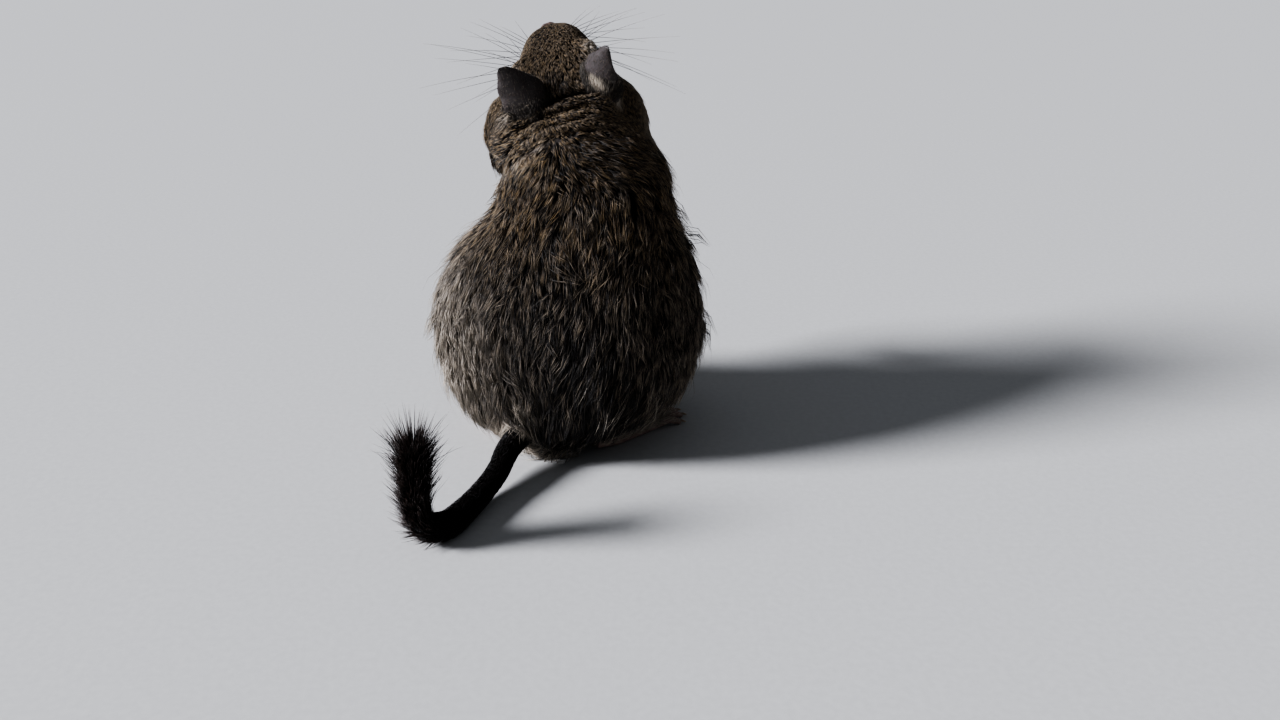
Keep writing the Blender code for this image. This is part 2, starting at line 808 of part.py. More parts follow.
def brush_locks(points, radii):
    """The locks round the last part of the tail, longest and most upright at its end."""
    chance = random.Random(BRUSH_SEED)
    count = len(points) - 1
    frames = tube_frames(points)
    locks = []
    for i in range(BRUSH_LOCKS):
        along = (i + chance.random()) / BRUSH_LOCKS
        place = (BRUSH_FROM + (BRUSH_TO - BRUSH_FROM) * along) * count
        at = min(round(place), count - 1)
        middle, side, rise = frames[at]
        ahead = (points[at + 1] - points[at - 1]).normalized()
        turn = i * math.radians(137.5) + chance.uniform(-0.3, 0.3)
        outward = side * math.cos(turn) + rise * math.sin(turn)
        lean = math.radians(LOCK_LEAN[1] + (LOCK_LEAN[0] - LOCK_LEAN[1]) * along)
        lean *= chance.uniform(0.75, 1.2)
        way = ahead * math.cos(lean) + outward * math.sin(lean)
        root = middle + outward * radii[at] * 0.7 - way * 1.5
        locks.append(
            lock(
                root,
                way,
                (outward - way * outward.dot(way)).normalized(),
                chance.uniform(*LOCK_LENGTH) * (0.8 + 0.3 * along),
                chance.uniform(*LOCK_WIDTH),
            )
        )
    return locks


def tail_nodes():
    """The tail in four lengths with flat ends, of which the last carries its brush."""
    count = 41
    points = route_points(TAIL_ROUTE, count)
    radii = [float(through(TAIL_RADII, i / (count - 1))[0]) for i in range(count)]
    for name, low, high in zip(TAIL_NODES, TAIL_CUTS, TAIL_CUTS[1:]):
        first, last = round(low * (count - 1)), round(high * (count - 1))
        start, end = max(first - 1, 0), min(last + 1, count - 1)
        shape = tube(points[start : end + 1], radii[start : end + 1], 14)
        made = object_from(name, *shape, "tail_coat")
        if last == count - 1:
            fused(made, brush_locks(points, radii))
        for at, way in ((first, -1), (last, 1)):
            if 0 < at < count - 1:
                ahead = (points[at + 1] - points[at - 1]).normalized() * way
                sliced(made, points[at] - ahead * GAP / 2, ahead)
        sliced(made, (0, 0, 0), -UP)


def body_skin():
    """The torso, hind legs, neck and head as one soft skin."""
    shapes = [trunk_shape(), neck_shape()]
    for sign in SIDES.values():
        for stations in (THIGH, SHANK, UPPER_ARM):
            shapes += rounded_limb_shapes(stations, sign)
    bulk = taken(melted(joined("bulk", shapes, "coat"), 1.1, 34))
    head = taken(melted(joined("skull", [skull_shape(), *face_shapes()], "coat"), 0.6, 26))
    return melted(joined("body", [bulk, head], "coat"), 0.7, 8)


def thigh_region(sign, growth=0.0):
    """The space that one thigh is cut out with."""
    middle, radii, splay = THIGH_REGION
    turn = Matrix.Rotation(splay * sign, 3, "Z")
    shape = ellipsoid(on_side(middle, sign), radii + Vector((growth,) * 3), turn, 28, 14)
    return object_from("region", *moved(shape, posed), "coat")


def thigh(torso, side):
    """Takes one thigh out of the torso, and leaves a gap between them."""
    sign = SIDES[side]
    inside, outside = thigh_region(sign), thigh_region(sign, GAP)
    made = combined(copy_of(torso, f"thigh_{side}"), inside, "INTERSECT")
    combined(torso, outside, "DIFFERENCE")
    remove(inside, outside)
    return made


def trimmed(made, *skins):
    """Cuts away what lies inside the bodies that a node grows from."""
    for skin in skins:
        combined(made, skin, "DIFFERENCE")
    return made


def main():
    """Builds every node."""
    for old in list(bpy.data.objects):
        bpy.data.objects.remove(old)
    body = body_skin()
    head = head_node(body)
    point, normal = NECK_FROM_HEAD
    neck = sliced(copy_of(body, "neck"), point + normal * GAP / 2, -normal)
    point, normal = TORSO_FROM_NECK
    torso = sliced(copy_of(neck, "torso"), point + normal * GAP / 2, -normal)
    sliced(neck, point - normal * GAP / 2, normal)
    sliced(torso, (0, 0, 0), -UP)
    thinned(neck, BUDGET["neck"])
    thinned(torso, BUDGET["trunk"])
    remove(body)
    thighs = {side: thigh(torso, side) for side in SIDES}
    head_skin, torso_skin = grown(head, GAP), grown(torso, GAP)
    for side in SIDES:
        thigh_skin = grown(thighs[side], GAP)
        trimmed(ear(side), head_skin)
        eye(side)
        trimmed(hind_foot(side), torso_skin, thigh_skin)
        trimmed(foreleg(side), torso_skin)
        forepaw(side)
        remove(thigh_skin)
    tail_nodes()
    trimmed(bpy.data.objects[TAIL_NODES[0]], torso_skin)
    remove(head_skin, torso_skin)


if __name__ == "__main__":
    main()
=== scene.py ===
"""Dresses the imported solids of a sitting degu: hide, coat, ears, eyes, claws, whiskers and tail brush.

Lengths are in millimetres until a mesh is made. +Z is up, +Y is the way the animal faces, +X is its right.
"""

import sys
import logging
import math
from dataclasses import astuple, dataclass, field, fields, replace
from enum import Enum

import bpy
import numpy as np
from bpy.types import Material, Mesh, Node, NodeSocket, NodeTree, Object
from mathutils import Matrix, Vector
from mathutils.kdtree import KDTree


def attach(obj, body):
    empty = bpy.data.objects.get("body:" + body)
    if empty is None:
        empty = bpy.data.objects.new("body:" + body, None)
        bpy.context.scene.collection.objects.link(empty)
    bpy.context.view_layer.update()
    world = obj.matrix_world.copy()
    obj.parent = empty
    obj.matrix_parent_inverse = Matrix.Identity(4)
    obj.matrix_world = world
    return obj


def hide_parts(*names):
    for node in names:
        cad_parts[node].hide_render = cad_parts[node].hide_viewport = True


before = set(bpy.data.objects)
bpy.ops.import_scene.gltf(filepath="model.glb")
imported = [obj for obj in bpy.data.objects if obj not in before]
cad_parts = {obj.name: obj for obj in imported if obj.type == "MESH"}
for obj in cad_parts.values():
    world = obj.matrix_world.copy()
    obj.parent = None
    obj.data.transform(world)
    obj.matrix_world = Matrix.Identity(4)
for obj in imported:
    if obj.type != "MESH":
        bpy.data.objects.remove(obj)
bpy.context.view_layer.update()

LOG = logging.getLogger("degu")
MM = 0.001
FLOOR_GAP = 0.06
UP = np.array([0.0, 0.0, 1.0])
SIDES = {"left": -1, "right": 1}
BODY = "root"

Colour = tuple[float, float, float, float]
Array = np.ndarray
Shape = tuple[Array, Array, Array]


def linear(code: str) -> Colour:
    """Turns an sRGB hex colour such as "8c7a5a" to the linear values that shaders take.

    Args:
        code: Six hex digits.

    Returns:
        Red, green, blue and alpha, linear.
    """
    parts = [int(code[i : i + 2], 16) / 255 for i in (0, 2, 4)]
    flat = [p / 12.92 if p <= 0.04045 else ((p + 0.055) / 1.055) ** 2.4 for p in parts]
    return (flat[0], flat[1], flat[2], 1.0)


def feed(tree: NodeTree, node: Node, inputs: dict) -> None:
    """Sets the inputs of a node, or links them.

    Args:
        tree: The material's node tree.
        node: The node.
        inputs: Values, or sockets to link, by the input's name or number.
    """
    for name, value in inputs.items():
        if isinstance(value, NodeSocket):
            tree.links.new(value, node.inputs[name])
        else:
            node.inputs[name].default_value = value


def add_node(
    tree: NodeTree,
    kind: str,
    settings: dict | None = None,
    inputs: dict | None = None,
    stops: tuple = (),
) -> Node:
    """Adds one shader node with its settings and links.

    Args:
        tree: The material's node tree.
        kind: The node's type name, without its "ShaderNode".
        settings: Properties of the node by name.
        inputs: Values, or sockets to link, by the input's name or number.
        stops: A colour ramp's (position, sRGB hex) pairs, from low to high.

    Returns:
        The new node.
    """
    node = tree.nodes.new("ShaderNode" + kind)
    for name, value in (settings or {}).items():
        setattr(node, name, value)
    feed(tree, node, inputs or {})
    for i, (at, code) in enumerate(stops):
        elements = node.color_ramp.elements
        element = elements[i] if i < 2 else elements.new(at)
        element.position, element.color = at, linear(code)
    return node


# Finishes.


@dataclass(frozen=True)
class Finish:
    """The look of one kind of surface."""

    name: str

    def material(self) -> Material:
        """Makes the Blender material and lets the finish dress it.

        Returns:
            The material.
        """
        made = bpy.data.materials.new(self.name)
        made.use_nodes = True
        self.dress(made.node_tree, made.node_tree.nodes["Principled BSDF"])
        return made

    def dress(self, tree: NodeTree, shader: Node) -> None:
        """Adds the finish's nodes. Each finish has its own.

        Args:
            tree: The material's node tree.
            shader: Its surface shader.
        """
        raise NotImplementedError


@dataclass(frozen=True)
class AgoutiHair(Finish):
    """Guard hair of a wild-coloured rodent: grown keratin, slate at the root, a buff band under a black tip.

    The eye sees short flecks of gold among black, greyer on the rump and cream below and round the eyes.

    Attributes:
        slate: Root of a hair.
        shaft: Shaft of a banded hair, under and over its band.
        band: Lower part of the band.
        band_light: Upper part of the band.
        tip: Tip of a banded or black hair.
        black: Middle of a black hair.
        cream: Tip of a cream hair, over its greyer root and middle.
        roughness: How matt the hair is.
        band_shift: How far the band moves along from hair to hair, as a share of the length.
        grey_share: How much of the band's colour is left in greyer fur.
        dark_share: How much the black marking adds to a hair's own tone.
        dark_from: Sum of the two from which a hair starts to be black, and from which it is.
    """

    slate: str = "171413"
    shaft: str = "241c16"
    band: str = "6f5839"
    band_light: str = "987d50"
    tip: str = "090707"
    black: str = "120d0b"
    cream: tuple = ("6f6760", "b8ad9f", "cfc4b2")
    roughness: float = 0.5
    band_shift: float = 0.34
    grey_share: float = 0.42
    dark_share: float = 0.75
    dark_from: tuple = (0.78, 0.97)

    def dress(self, tree: NodeTree, shader: Node) -> None:
        """Bands each hair along its length, and mixes banded, black and cream hairs by the markings.

        Args:
            tree: The material's node tree.
            shader: Its surface shader.
        """
        share = add_node(tree, "Attribute", {"attribute_name": "share"}).outputs["Fac"]
        tone = add_node(tree, "Attribute", {"attribute_name": "tone"}).outputs["Fac"]
        marks = add_node(tree, "Attribute", {"attribute_name": "marks"}).outputs["Vector"]
        pale, warm, dark = add_node(tree, "SeparateXYZ", None, {0: marks}).outputs
        shift = {0: tone, 1: self.band_shift, 2: share}
        moved = add_node(tree, "Math", {"operation": "MULTIPLY_ADD"}, shift).outputs[0]
        middled = {0: moved, 1: self.band_shift / 2}
        along = add_node(tree, "Math", {"operation": "SUBTRACT"}, middled).outputs[0]
        bands = (
            (0.0, self.slate),
            (1.0, self.tip),
            (0.36, self.shaft),
            (0.54, self.band),
            (0.72, self.band_light),
            (0.88, self.shaft),
        )
        gold = add_node(tree, "ValToRGB", None, {"Fac": along}, bands).outputs["Color"]
        greyed = {"Saturation": self.grey_share, "Color": gold}
        grey = add_node(tree, "HueSaturation", None, greyed).outputs["Color"]
        by_warm = {"Factor": warm, "A": grey, "B": gold}
        banded = add_node(tree, "Mix", {"data_type": "RGBA"}, by_warm).outputs["Result"]
        shades = ((0.0, self.slate), (1.0, self.tip), (0.5, self.black))
        black = add_node(tree, "ValToRGB", None, {"Fac": share}, shades).outputs["Color"]
        own = {0: dark, 1: self.dark_share, 2: tone}
        total = add_node(tree, "Math", {"operation": "MULTIPLY_ADD"}, own).outputs[0]
        smooth = {"interpolation_type": "SMOOTHSTEP"}
        start, full = self.dark_from
        steps = {"Value": total, "From Min": start, "From Max": full}
        is_black = add_node(tree, "MapRange", smooth, steps).outputs[0]
        by_black = {"Factor": is_black, "A": banded, "B": black}
        coat = add_node(tree, "Mix", {"data_type": "RGBA"}, by_black).outputs["Result"]
        creams = ((0.0, self.cream[0]), (1.0, self.cream[2]), (0.45, self.cream[1]))
        cream = add_node(tree, "ValToRGB", None, {"Fac": share}, creams).outputs["Color"]
        by_pale = {"Factor": pale, "A": coat, "B": cream}
        mixed = add_node(tree, "Mix", {"data_type": "RGBA"}, by_pale).outputs["Result"]
        feed(tree, shader, {"Base Color": mixed, "Roughness": self.roughness, "Specular IOR Level": 0.27})
        feed(tree, shader, {"Sheen Weight": 0.05, "Sheen Roughness": 0.5})


@dataclass(frozen=True)
class BrushHair(Finish):
    """Coarse black-brown tail hair, grown keratin. The eye sees black, browner at its thin edge."""

    root: str = "0e0b0a"
    tip: str = "46352d"

    def dress(self, tree: NodeTree, shader: Node) -> None:
        """Browns each hair towards its tip.

        Args:
            tree: The material's node tree.
            shader: Its surface shader.
        """
        share = add_node(tree, "Attribute", {"attribute_name": "share"}).outputs["Fac"]
        browns = ((0.0, self.root), (1.0, self.tip), (0.6, self.root))
        brown = add_node(tree, "ValToRGB", None, {"Fac": share}, browns).outputs["Color"]
        tone = add_node(tree, "Attribute", {"attribute_name": "tone"}).outputs["Fac"]
        spread_out = {"Value": tone, "To Min": 0.7, "To Max": 1.6}
        value = add_node(tree, "MapRange", None, spread_out).outputs[0]
        varied = add_node(tree, "HueSaturation", None, {"Value": value, "Color": brown})
        brown = varied.outputs["Color"]
        feed(tree, shader, {"Base Color": brown, "Roughness": 0.42, "Specular IOR Level": 0.4})


@dataclass(frozen=True)
class HideSkin(Finish):
    """Skin under the coat: slate under the dark fur, pinkish grey where it is bare on toes, palms and soles.

    It is grown skin with fine creases of about 0.4 mm, which show only where the hair is short.
    """

    under_dark: str = "151110"
    under_pale: str = "94877a"
    bare: tuple = ("7d6a64", "a08a80", "b39c90")
    blotch_mm: float = 2.2
    crease_mm: float = 0.45

    def dress(self, tree: NodeTree, shader: Node) -> None:
        """Carries the coat's own markings, with bare skin and its creases where the hair is short.

        Args:
            tree: The material's node tree.
            shader: Its surface shader.
        """
        marks = add_node(tree, "Attribute", {"attribute_name": "marks"}).outputs["Vector"]
        bare = add_node(tree, "Attribute", {"attribute_name": "bare"}).outputs["Fac"]
        pale = add_node(tree, "SeparateXYZ", None, {0: marks}).outputs[0]
        place = add_node(tree, "TexCoord").outputs["Object"]
        by_pale = {"Factor": pale, "A": linear(self.under_dark), "B": linear(self.under_pale)}
        under = add_node(tree, "Mix", {"data_type": "RGBA"}, by_pale).outputs["Result"]
        fine = {"Vector": place, "Scale": 1 / (self.blotch_mm * MM), "Detail": 3.0}
        blotch = add_node(tree, "TexNoise", None, fine).outputs["Fac"]
        pinks = ((0.3, self.bare[0]), (0.7, self.bare[1]), (0.85, self.bare[2]))
        skin = add_node(tree, "ValToRGB", None, {"Fac": blotch}, pinks).outputs["Color"]
        by_bare = {"Factor": bare, "A": under, "B": skin}
        mixed = add_node(tree, "Mix", {"data_type": "RGBA"}, by_bare).outputs["Result"]
        edges, small = {"feature": "DISTANCE_TO_EDGE"}, {"Vector": place, "Scale": 1 / (self.crease_mm * MM)}
        cells = add_node(tree, "TexVoronoi", edges, small).outputs["Distance"]
        low = {"Height": cells, "Strength": 0.35, "Distance": 0.12 * MM}
        bump = add_node(tree, "Bump", None, low).outputs["Normal"]
        feed(tree, shader, {"Base Color": mixed, "Normal": bump})
        feed(tree, shader, {"Roughness": 0.66, "Specular IOR Level": 0.25})


@dataclass(frozen=True)
class EarSkin(Finish):
    """Thin ear skin grown over cartilage: grey-brown and matt, with faint vessels and a fine nap of hair.

    The nap's real pores are under 0.1 mm, too fine to show, so the bump that stands for it is 0.35 mm.
    """

    skin: str = "332d2b"
    light: str = "433d3c"
    vessel: str = "3a2c2a"
    mottle_mm: float = 3.0
    vessel_mm: float = 5.5
    nap_mm: float = 0.35

    def dress(self, tree: NodeTree, shader: Node) -> None:
        """Mottles the skin and runs faint vessels up it.

        Args:
            tree: The material's node tree.
            shader: Its surface shader.
        """
        place = add_node(tree, "TexCoord").outputs["Object"]
        broad = {"Vector": place, "Scale": 1 / (self.mottle_mm * MM), "Detail": 5.0, "Roughness": 0.6}
        mottle = add_node(tree, "TexNoise", None, broad).outputs["Fac"]
        greys = ((0.32, self.skin), (0.72, self.light))
        base = add_node(tree, "ValToRGB", None, {"Fac": mottle}, greys).outputs["Color"]
        wide = {"Vector": place, "Scale": 1 / (6.0 * MM), "Detail": 1.0}
        warp = add_node(tree, "TexNoise", None, wide).outputs["Color"]
        bent = {0: warp, 1: (4 * MM, 4 * MM, 4 * MM), 2: place}
        shifted = add_node(tree, "VectorMath", {"operation": "MULTIPLY_ADD"}, bent).outputs["Vector"]
        edges = {"feature": "DISTANCE_TO_EDGE"}
        spaced = {"Vector": shifted, "Scale": 1 / (self.vessel_mm * MM)}
        away = add_node(tree, "TexVoronoi", edges, spaced).outputs["Distance"]
        faint = {"Value": away, "From Min": 0.0, "From Max": 0.07, "To Min": 0.4, "To Max": 0.0}
        near = add_node(tree, "MapRange", {"interpolation_type": "SMOOTHSTEP"}, faint).outputs[0]
        by_near = {"Factor": near, "A": base, "B": linear(self.vessel)}
        mixed = add_node(tree, "Mix", {"data_type": "RGBA"}, by_near).outputs["Result"]
        fine = {"Vector": place, "Scale": 1 / (self.nap_mm * MM), "Detail": 2.0}
        nap = add_node(tree, "TexNoise", None, fine).outputs["Fac"]
        low = {"Height": nap, "Strength": 0.3, "Distance": 0.1 * MM}
        bump = add_node(tree, "Bump", None, low).outputs["Normal"]
        feed(tree, shader, {"Base Color": mixed, "Normal": bump})
        feed(tree, shader, {"Roughness": 0.58, "Specular IOR Level": 0.4})


@dataclass(frozen=True)
class WetEye(Finish):
    """Living eyeball under a tear film: near-black iris, clear cornea, lights as sharp points."""

    pupil: str = "020202"
    iris: tuple = ("160d08", "150b07")
    rim: str = "0a0605"
    white: str = "4a3a34"

    def dress(self, tree: NodeTree, shader: Node) -> None:
        """Rings pupil, iris and rim round the gaze, under one clear coat.

        Args:
            tree: The material's node tree.
            shader: Its surface shader.
        """
        gaze = add_node(tree, "Attribute", {"attribute_name": "gaze"}).outputs["Fac"]
        place = add_node(tree, "TexCoord").outputs["Object"]
        fine = {"Vector": place, "Scale": 1 / (0.5 * MM), "Detail": 3.0}
        fleck = add_node(tree, "TexNoise", None, fine).outputs["Fac"]
        flecked = {0: fleck, 1: 0.06, 2: gaze}
        out = add_node(tree, "Math", {"operation": "MULTIPLY_ADD"}, flecked).outputs[0]
        inner, outer = self.iris
        rings = (
            (0.0, self.pupil),
            (1.0, self.white),
            (0.2, self.pupil),
            (0.26, inner),
            (0.5, outer),
            (0.62, self.rim),
        )
        colour = add_node(tree, "ValToRGB", None, {"Fac": out}, rings).outputs["Color"]
        feed(tree, shader, {"Base Color": colour, "Roughness": 0.12, "IOR": 1.376})
        feed(tree, shader, {"Coat Weight": 1.0, "Coat Roughness": 0.02, "Coat IOR": 1.336})


@dataclass(frozen=True)
class MoistLeather(Finish):
    """Bare moist skin of the nose and the eyelids' rims: pebbled at about 0.3 mm, with a soft wet gloss."""

    colour: str = "64504b"
    dark: str = "382c2a"
    pebble_mm: float = 0.32
    roughness: float = 0.36

    def dress(self, tree: NodeTree, shader: Node) -> None:
        """Pebbles the skin and darkens it in patches.

        Args:
            tree: The material's node tree.
            shader: Its surface shader.
        """
        place = add_node(tree, "TexCoord").outputs["Object"]
        broad = {"Vector": place, "Scale": 1 / (1.5 * MM), "Detail": 3.0}
        patch = add_node(tree, "TexNoise", None, broad).outputs["Fac"]
        browns = ((0.35, self.dark), (0.65, self.colour))
        colour = add_node(tree, "ValToRGB", None, {"Fac": patch}, browns).outputs["Color"]
        small = {"Vector": place, "Scale": 1 / (self.pebble_mm * MM)}
        pebbles = add_node(tree, "TexVoronoi", {"feature": "SMOOTH_F1"}, small).outputs["Distance"]
        low = {"Height": pebbles, "Strength": 0.5, "Distance": 0.08 * MM}
        bump = add_node(tree, "Bump", {"invert": True}, low).outputs["Normal"]
        feed(tree, shader, {"Base Color": colour, "Normal": bump, "Roughness": self.roughness})


@dataclass(frozen=True)
class ClawHorn(Finish):
    """Keratin claw horn, grown: dark at the quick, yellow-grey and clearer at the tip, with growth lines."""

    horn: tuple = ("4a3a33", "7a6857", "b7a58c")

    def dress(self, tree: NodeTree, shader: Node) -> None:
        """Lightens the horn towards its tip.

        Args:
            tree: The material's node tree.
            shader: Its surface shader.
        """
        share = add_node(tree, "Attribute", {"attribute_name": "share"}).outputs["Fac"]
        horns = ((0.0, self.horn[0]), (1.0, self.horn[2]), (0.6, self.horn[1]))
        colour = add_node(tree, "ValToRGB", None, {"Fac": share}, horns).outputs["Color"]
        place = add_node(tree, "TexCoord").outputs["Object"]
        fine = {"Vector": place, "Scale": 1 / (0.25 * MM), "Detail": 1.0}
        lines = add_node(tree, "TexNoise", None, fine).outputs["Fac"]
        low = {"Height": lines, "Strength": 0.2, "Distance": 0.04 * MM}
        bump = add_node(tree, "Bump", None, low).outputs["Normal"]
        feed(tree, shader, {"Base Color": colour, "Normal": bump, "Roughness": 0.32, "IOR": 1.55})


@dataclass(frozen=True)
class WhiskerKeratin(Finish):
    """Stiff tapered keratin whisker, grown: dark and glossy at the root, pale and almost clear at the tip."""

    shade: tuple = ("14100f", "2a2321", "8d847c")

    def dress(self, tree: NodeTree, shader: Node) -> None:
        """Pales the whisker along its length.

        Args:
            tree: The material's node tree.
            shader: Its surface shader.
        """
        share = add_node(tree, "Attribute", {"attribute_name": "share"}).outputs["Fac"]
        shades = ((0.0, self.shade[0]), (1.0, self.shade[2]), (0.45, self.shade[1]))
        colour = add_node(tree, "ValToRGB", None, {"Fac": share}, shades).outputs["Color"]
        feed(tree, shader, {"Base Color": colour, "Roughness": 0.35, "IOR": 1.55})


@dataclass(frozen=True)
class FloorPaint(Finish):
    """Matt pale studio floor, rolled emulsion with a faint stipple of about 2 mm."""

    dark: str = "bbbab7"
    colour: str = "c0bfbc"

    def dress(self, tree: NodeTree, shader: Node) -> None:
        """Stipples the paint slightly.

        Args:
            tree: The material's node tree.
            shader: Its surface shader.
        """
        place = add_node(tree, "TexCoord").outputs["Object"]
        small = {"Vector": place, "Scale": 1 / (2 * MM), "Detail": 2.0}
        stipple = add_node(tree, "TexNoise", None, small).outputs["Fac"]
        paints = ((0.3, self.dark), (0.7, self.colour))
        colour = add_node(tree, "ValToRGB", None, {"Fac": stipple}, paints).outputs["Color"]
        feed(tree, shader, {"Base Color": colour, "Roughness": 0.75})


# Shape tools.


def unit(vectors: Array) -> Array:
    """Vectors scaled to length one, along the last axis."""
    return vectors / np.maximum(np.linalg.norm(vectors, axis=-1, keepdims=True), 1e-9)


def smooth_rise(values: Array, low: float, high: float) -> Array:
    """0 at or below low, 1 at or above high, and a smooth rise between."""
    t = np.clip((values - low) / (high - low), 0, 1)
    return t * t * (3 - 2 * t)


def through(rows: tuple, at: Array) -> Array:
    """Values on a smooth curve through rows of (position, value...).

    Args:
        rows: The named rows, with rising positions.
        at: Where to read the curve.

    Returns:
        One row of values for each position.
    """
    table = np.asarray(rows, float)
    keys, values = table[:, 0], table[:, 1:]
    slopes = np.gradient(values, keys, axis=0)
    at = np.clip(np.atleast_1d(at), keys[0], keys[-1])
    i = np.clip(np.searchsorted(keys, at, side="right") - 1, 0, len(keys) - 2)
    span = (keys[i + 1] - keys[i])[:, None]
    t = (at - keys[i])[:, None] / span
    return (
        (2 * t**3 - 3 * t**2 + 1) * values[i]
        + (t**3 - 2 * t**2 + t) * span * slopes[i]
        + (3 * t**2 - 2 * t**3) * values[i + 1]
        + (t**3 - t**2) * span * slopes[i + 1]
    )


def route(points: tuple | list, count: int) -> Array:
    """Evenly numbered points along a smooth curve through a few given ones.

    Args:
        points: A few points on the way.
        count: How many points the curve gets.

    Returns:
        The curve's points.
    """
    table = np.asarray(points, float)
    along = np.concatenate([[0.0], np.cumsum(np.linalg.norm(np.diff(table, axis=0), axis=1))])
    return through(np.column_stack([along / along[-1], table]), np.linspace(0, 1, count))


def mesh_of(name: str, points: Array, faces: Array) -> Mesh:
    """A smooth-shaded mesh from arrays.

    Args:
        name: The mesh's name.
        points: Corners in millimetres.
        faces: Corner numbers, all faces with the same number of sides.

    Returns:
        The mesh, in metres.
    """
    mesh = bpy.data.meshes.new(name)
    mesh.vertices.add(len(points))
    mesh.vertices.foreach_set("co", (np.asarray(points) * MM).astype(np.float32).ravel())
    mesh.loops.add(faces.size)
    mesh.loops.foreach_set("vertex_index", faces.astype(np.int32).ravel())
    mesh.polygons.add(len(faces))
    mesh.polygons.foreach_set("loop_start", np.arange(0, faces.size, faces.shape[1], dtype=np.int32))
    mesh.update(calc_edges=True)
    mesh.shade_smooth()
    return mesh


def piece_of(name: str, mesh: Mesh, finish: Material) -> Object:
    """An object in the scene that rides on the body and takes the given finish.

    Args:
        name: The piece's name.
        mesh: Its mesh.
        finish: Its material.

    Returns:
        The object.
    """
    made = bpy.data.objects.new(name, mesh)
    bpy.context.scene.collection.objects.link(made)
    mesh.materials.clear()
    mesh.materials.append(finish)
    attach(made, BODY)
    return made


def read(items: bpy.types.bpy_prop_collection, name: str, width: int = 1, kind: type = float) -> Array:
    """Reads one property of a mesh's corners, edges or faces.

    Args:
        items: What to read it from.
        name: The property.
        width: Numbers in each.
        kind: Their type.

    Returns:
        The numbers, in rows if there are several in each.
    """
    values = np.empty(len(items) * width, kind)
    items.foreach_get(name, values)
    return values.reshape(-1, width) if width > 1 else values


def set_values(mesh: Mesh, name: str, values: Array) -> None:
    """Stores one number or one vector per corner under a name that the finishes read.

    Args:
        mesh: The mesh.
        name: What the finishes call the values.
        values: One row for each corner.
    """
    vector = values.ndim == 2
    layer = mesh.attributes.new(name, "FLOAT_VECTOR" if vector else "FLOAT", "POINT")
    layer.data.foreach_set("vector" if vector else "value", values.astype(np.float32).ravel())


def tube(points: Array, radii: Array, columns: int) -> Shape:
    """A closed tube along a route.

    Args:
        points: The route's points.
        radii: The tube's radius at each.
        columns: Corners in each ring.

    Returns:
        Corners, triangles, and each corner's share of the way along.
    """
    ahead = unit(np.gradient(points, axis=0))
    side = unit(np.cross(ahead[0], UP) if abs(ahead[0][2]) < 0.95 else np.cross(ahead[0], (0, 1.0, 0)))
    rings, turns = [], 2 * math.pi * np.arange(columns) / columns
    for i, p in enumerate(points):
        side = unit(side - ahead[i] * (side @ ahead[i]))
        rise = np.cross(side, ahead[i])
        rings.append(p + radii[i] * (np.outer(np.cos(turns), side) + np.outer(np.sin(turns), rise)))
    corners = np.vstack([*rings, points[:1], points[-1:]])
    i, j = np.meshgrid(np.arange(len(points) - 1), np.arange(columns), indexing="ij")
    a, b = (i * columns + j).ravel(), (i * columns + (j + 1) % columns).ravel()
    ahead_a, ahead_b = a + columns, b + columns
    faces = np.vstack([np.column_stack([a, ahead_a, b]), np.column_stack([b, ahead_a, ahead_b])])
    j, k = np.arange(columns), (np.arange(columns) + 1) % columns
    last = (len(points) - 1) * columns
    first_middle, last_middle = len(points) * columns, len(points) * columns + 1
    caps = [np.column_stack([j, k, np.full(columns, first_middle)])]
    caps.append(np.column_stack([last + k, last + j, np.full(columns, last_middle)]))
    along = np.repeat(np.linspace(0, 1, len(points)), columns)
    return corners, np.vstack([faces, *caps]), np.concatenate([along, [0.0, 1.0]])


def merged(shapes: list) -> Shape:
    """Several (corners, triangles, values) shapes as one.

    Args:
        shapes: Corners, triangles and values of each shape.

    Returns:
        Corners, triangles and values of all.
    """
    starts = np.cumsum([0] + [len(shape[0]) for shape in shapes[:-1]])
    return (
        np.vstack([shape[0] for shape in shapes]),
        np.vstack([shape[1] + start for shape, start in zip(shapes, starts)]),
        np.concatenate([shape[2] for shape in shapes]),
    )


def corner_normals(points: Array, triangles: Array) -> Array:
    """Unit normals at the corners of a triangle mesh, weighted by the faces' areas.

    Args:
        points: Corners of the mesh.
        triangles: Its triangles.

    Returns:
        A normal for each corner.
    """
    a, b, c = (points[triangles[:, i]] for i in range(3))
    across = np.cross(b - a, c - a)
    total = np.column_stack(
        [
            sum(np.bincount(triangles[:, i], across[:, k], len(points)) for i in range(3))
            for k in range(3)
        ]
    )
    return unit(total)


def melted(
    name: str, points: Array, triangles: Array, voxel: float, rounds: int
) -> tuple[Mesh, Array, Array, Array]:
    """Melts overlapping closed shapes to one smooth skin.

    Args:
        name: The new mesh's name.
        points: Corners of all the shapes.
        triangles: Their triangles.
        voxel: Size of the grid that the skin is drawn on.
        rounds: How often the skin is smoothed.

    Returns:
        The mesh, and its corners, triangles and edges.
    """
    helper = bpy.data.objects.new("helper", mesh_of("helper", points, triangles))
    bpy.context.scene.collection.objects.link(helper)
    remesh = helper.modifiers.new("melt", "REMESH")
    remesh.mode = "VOXEL"
    remesh.voxel_size = voxel * MM
    smooth = helper.modifiers.new("smooth", "SMOOTH")
    smooth.factor, smooth.iterations = 0.5, rounds
    mesh = bpy.data.meshes.new_from_object(helper.evaluated_get(bpy.context.evaluated_depsgraph_get()))
    old = helper.data
    bpy.data.objects.remove(helper)
    bpy.data.meshes.remove(old)
    mesh.name = name
    mesh.calc_loop_triangles()
    corners = read(mesh.vertices, "co", 3) / MM
    faces = read(mesh.loop_triangles, "vertices", 3, np.int32)
    return mesh, corners, faces, read(mesh.edges, "vertices", 2, np.int32)


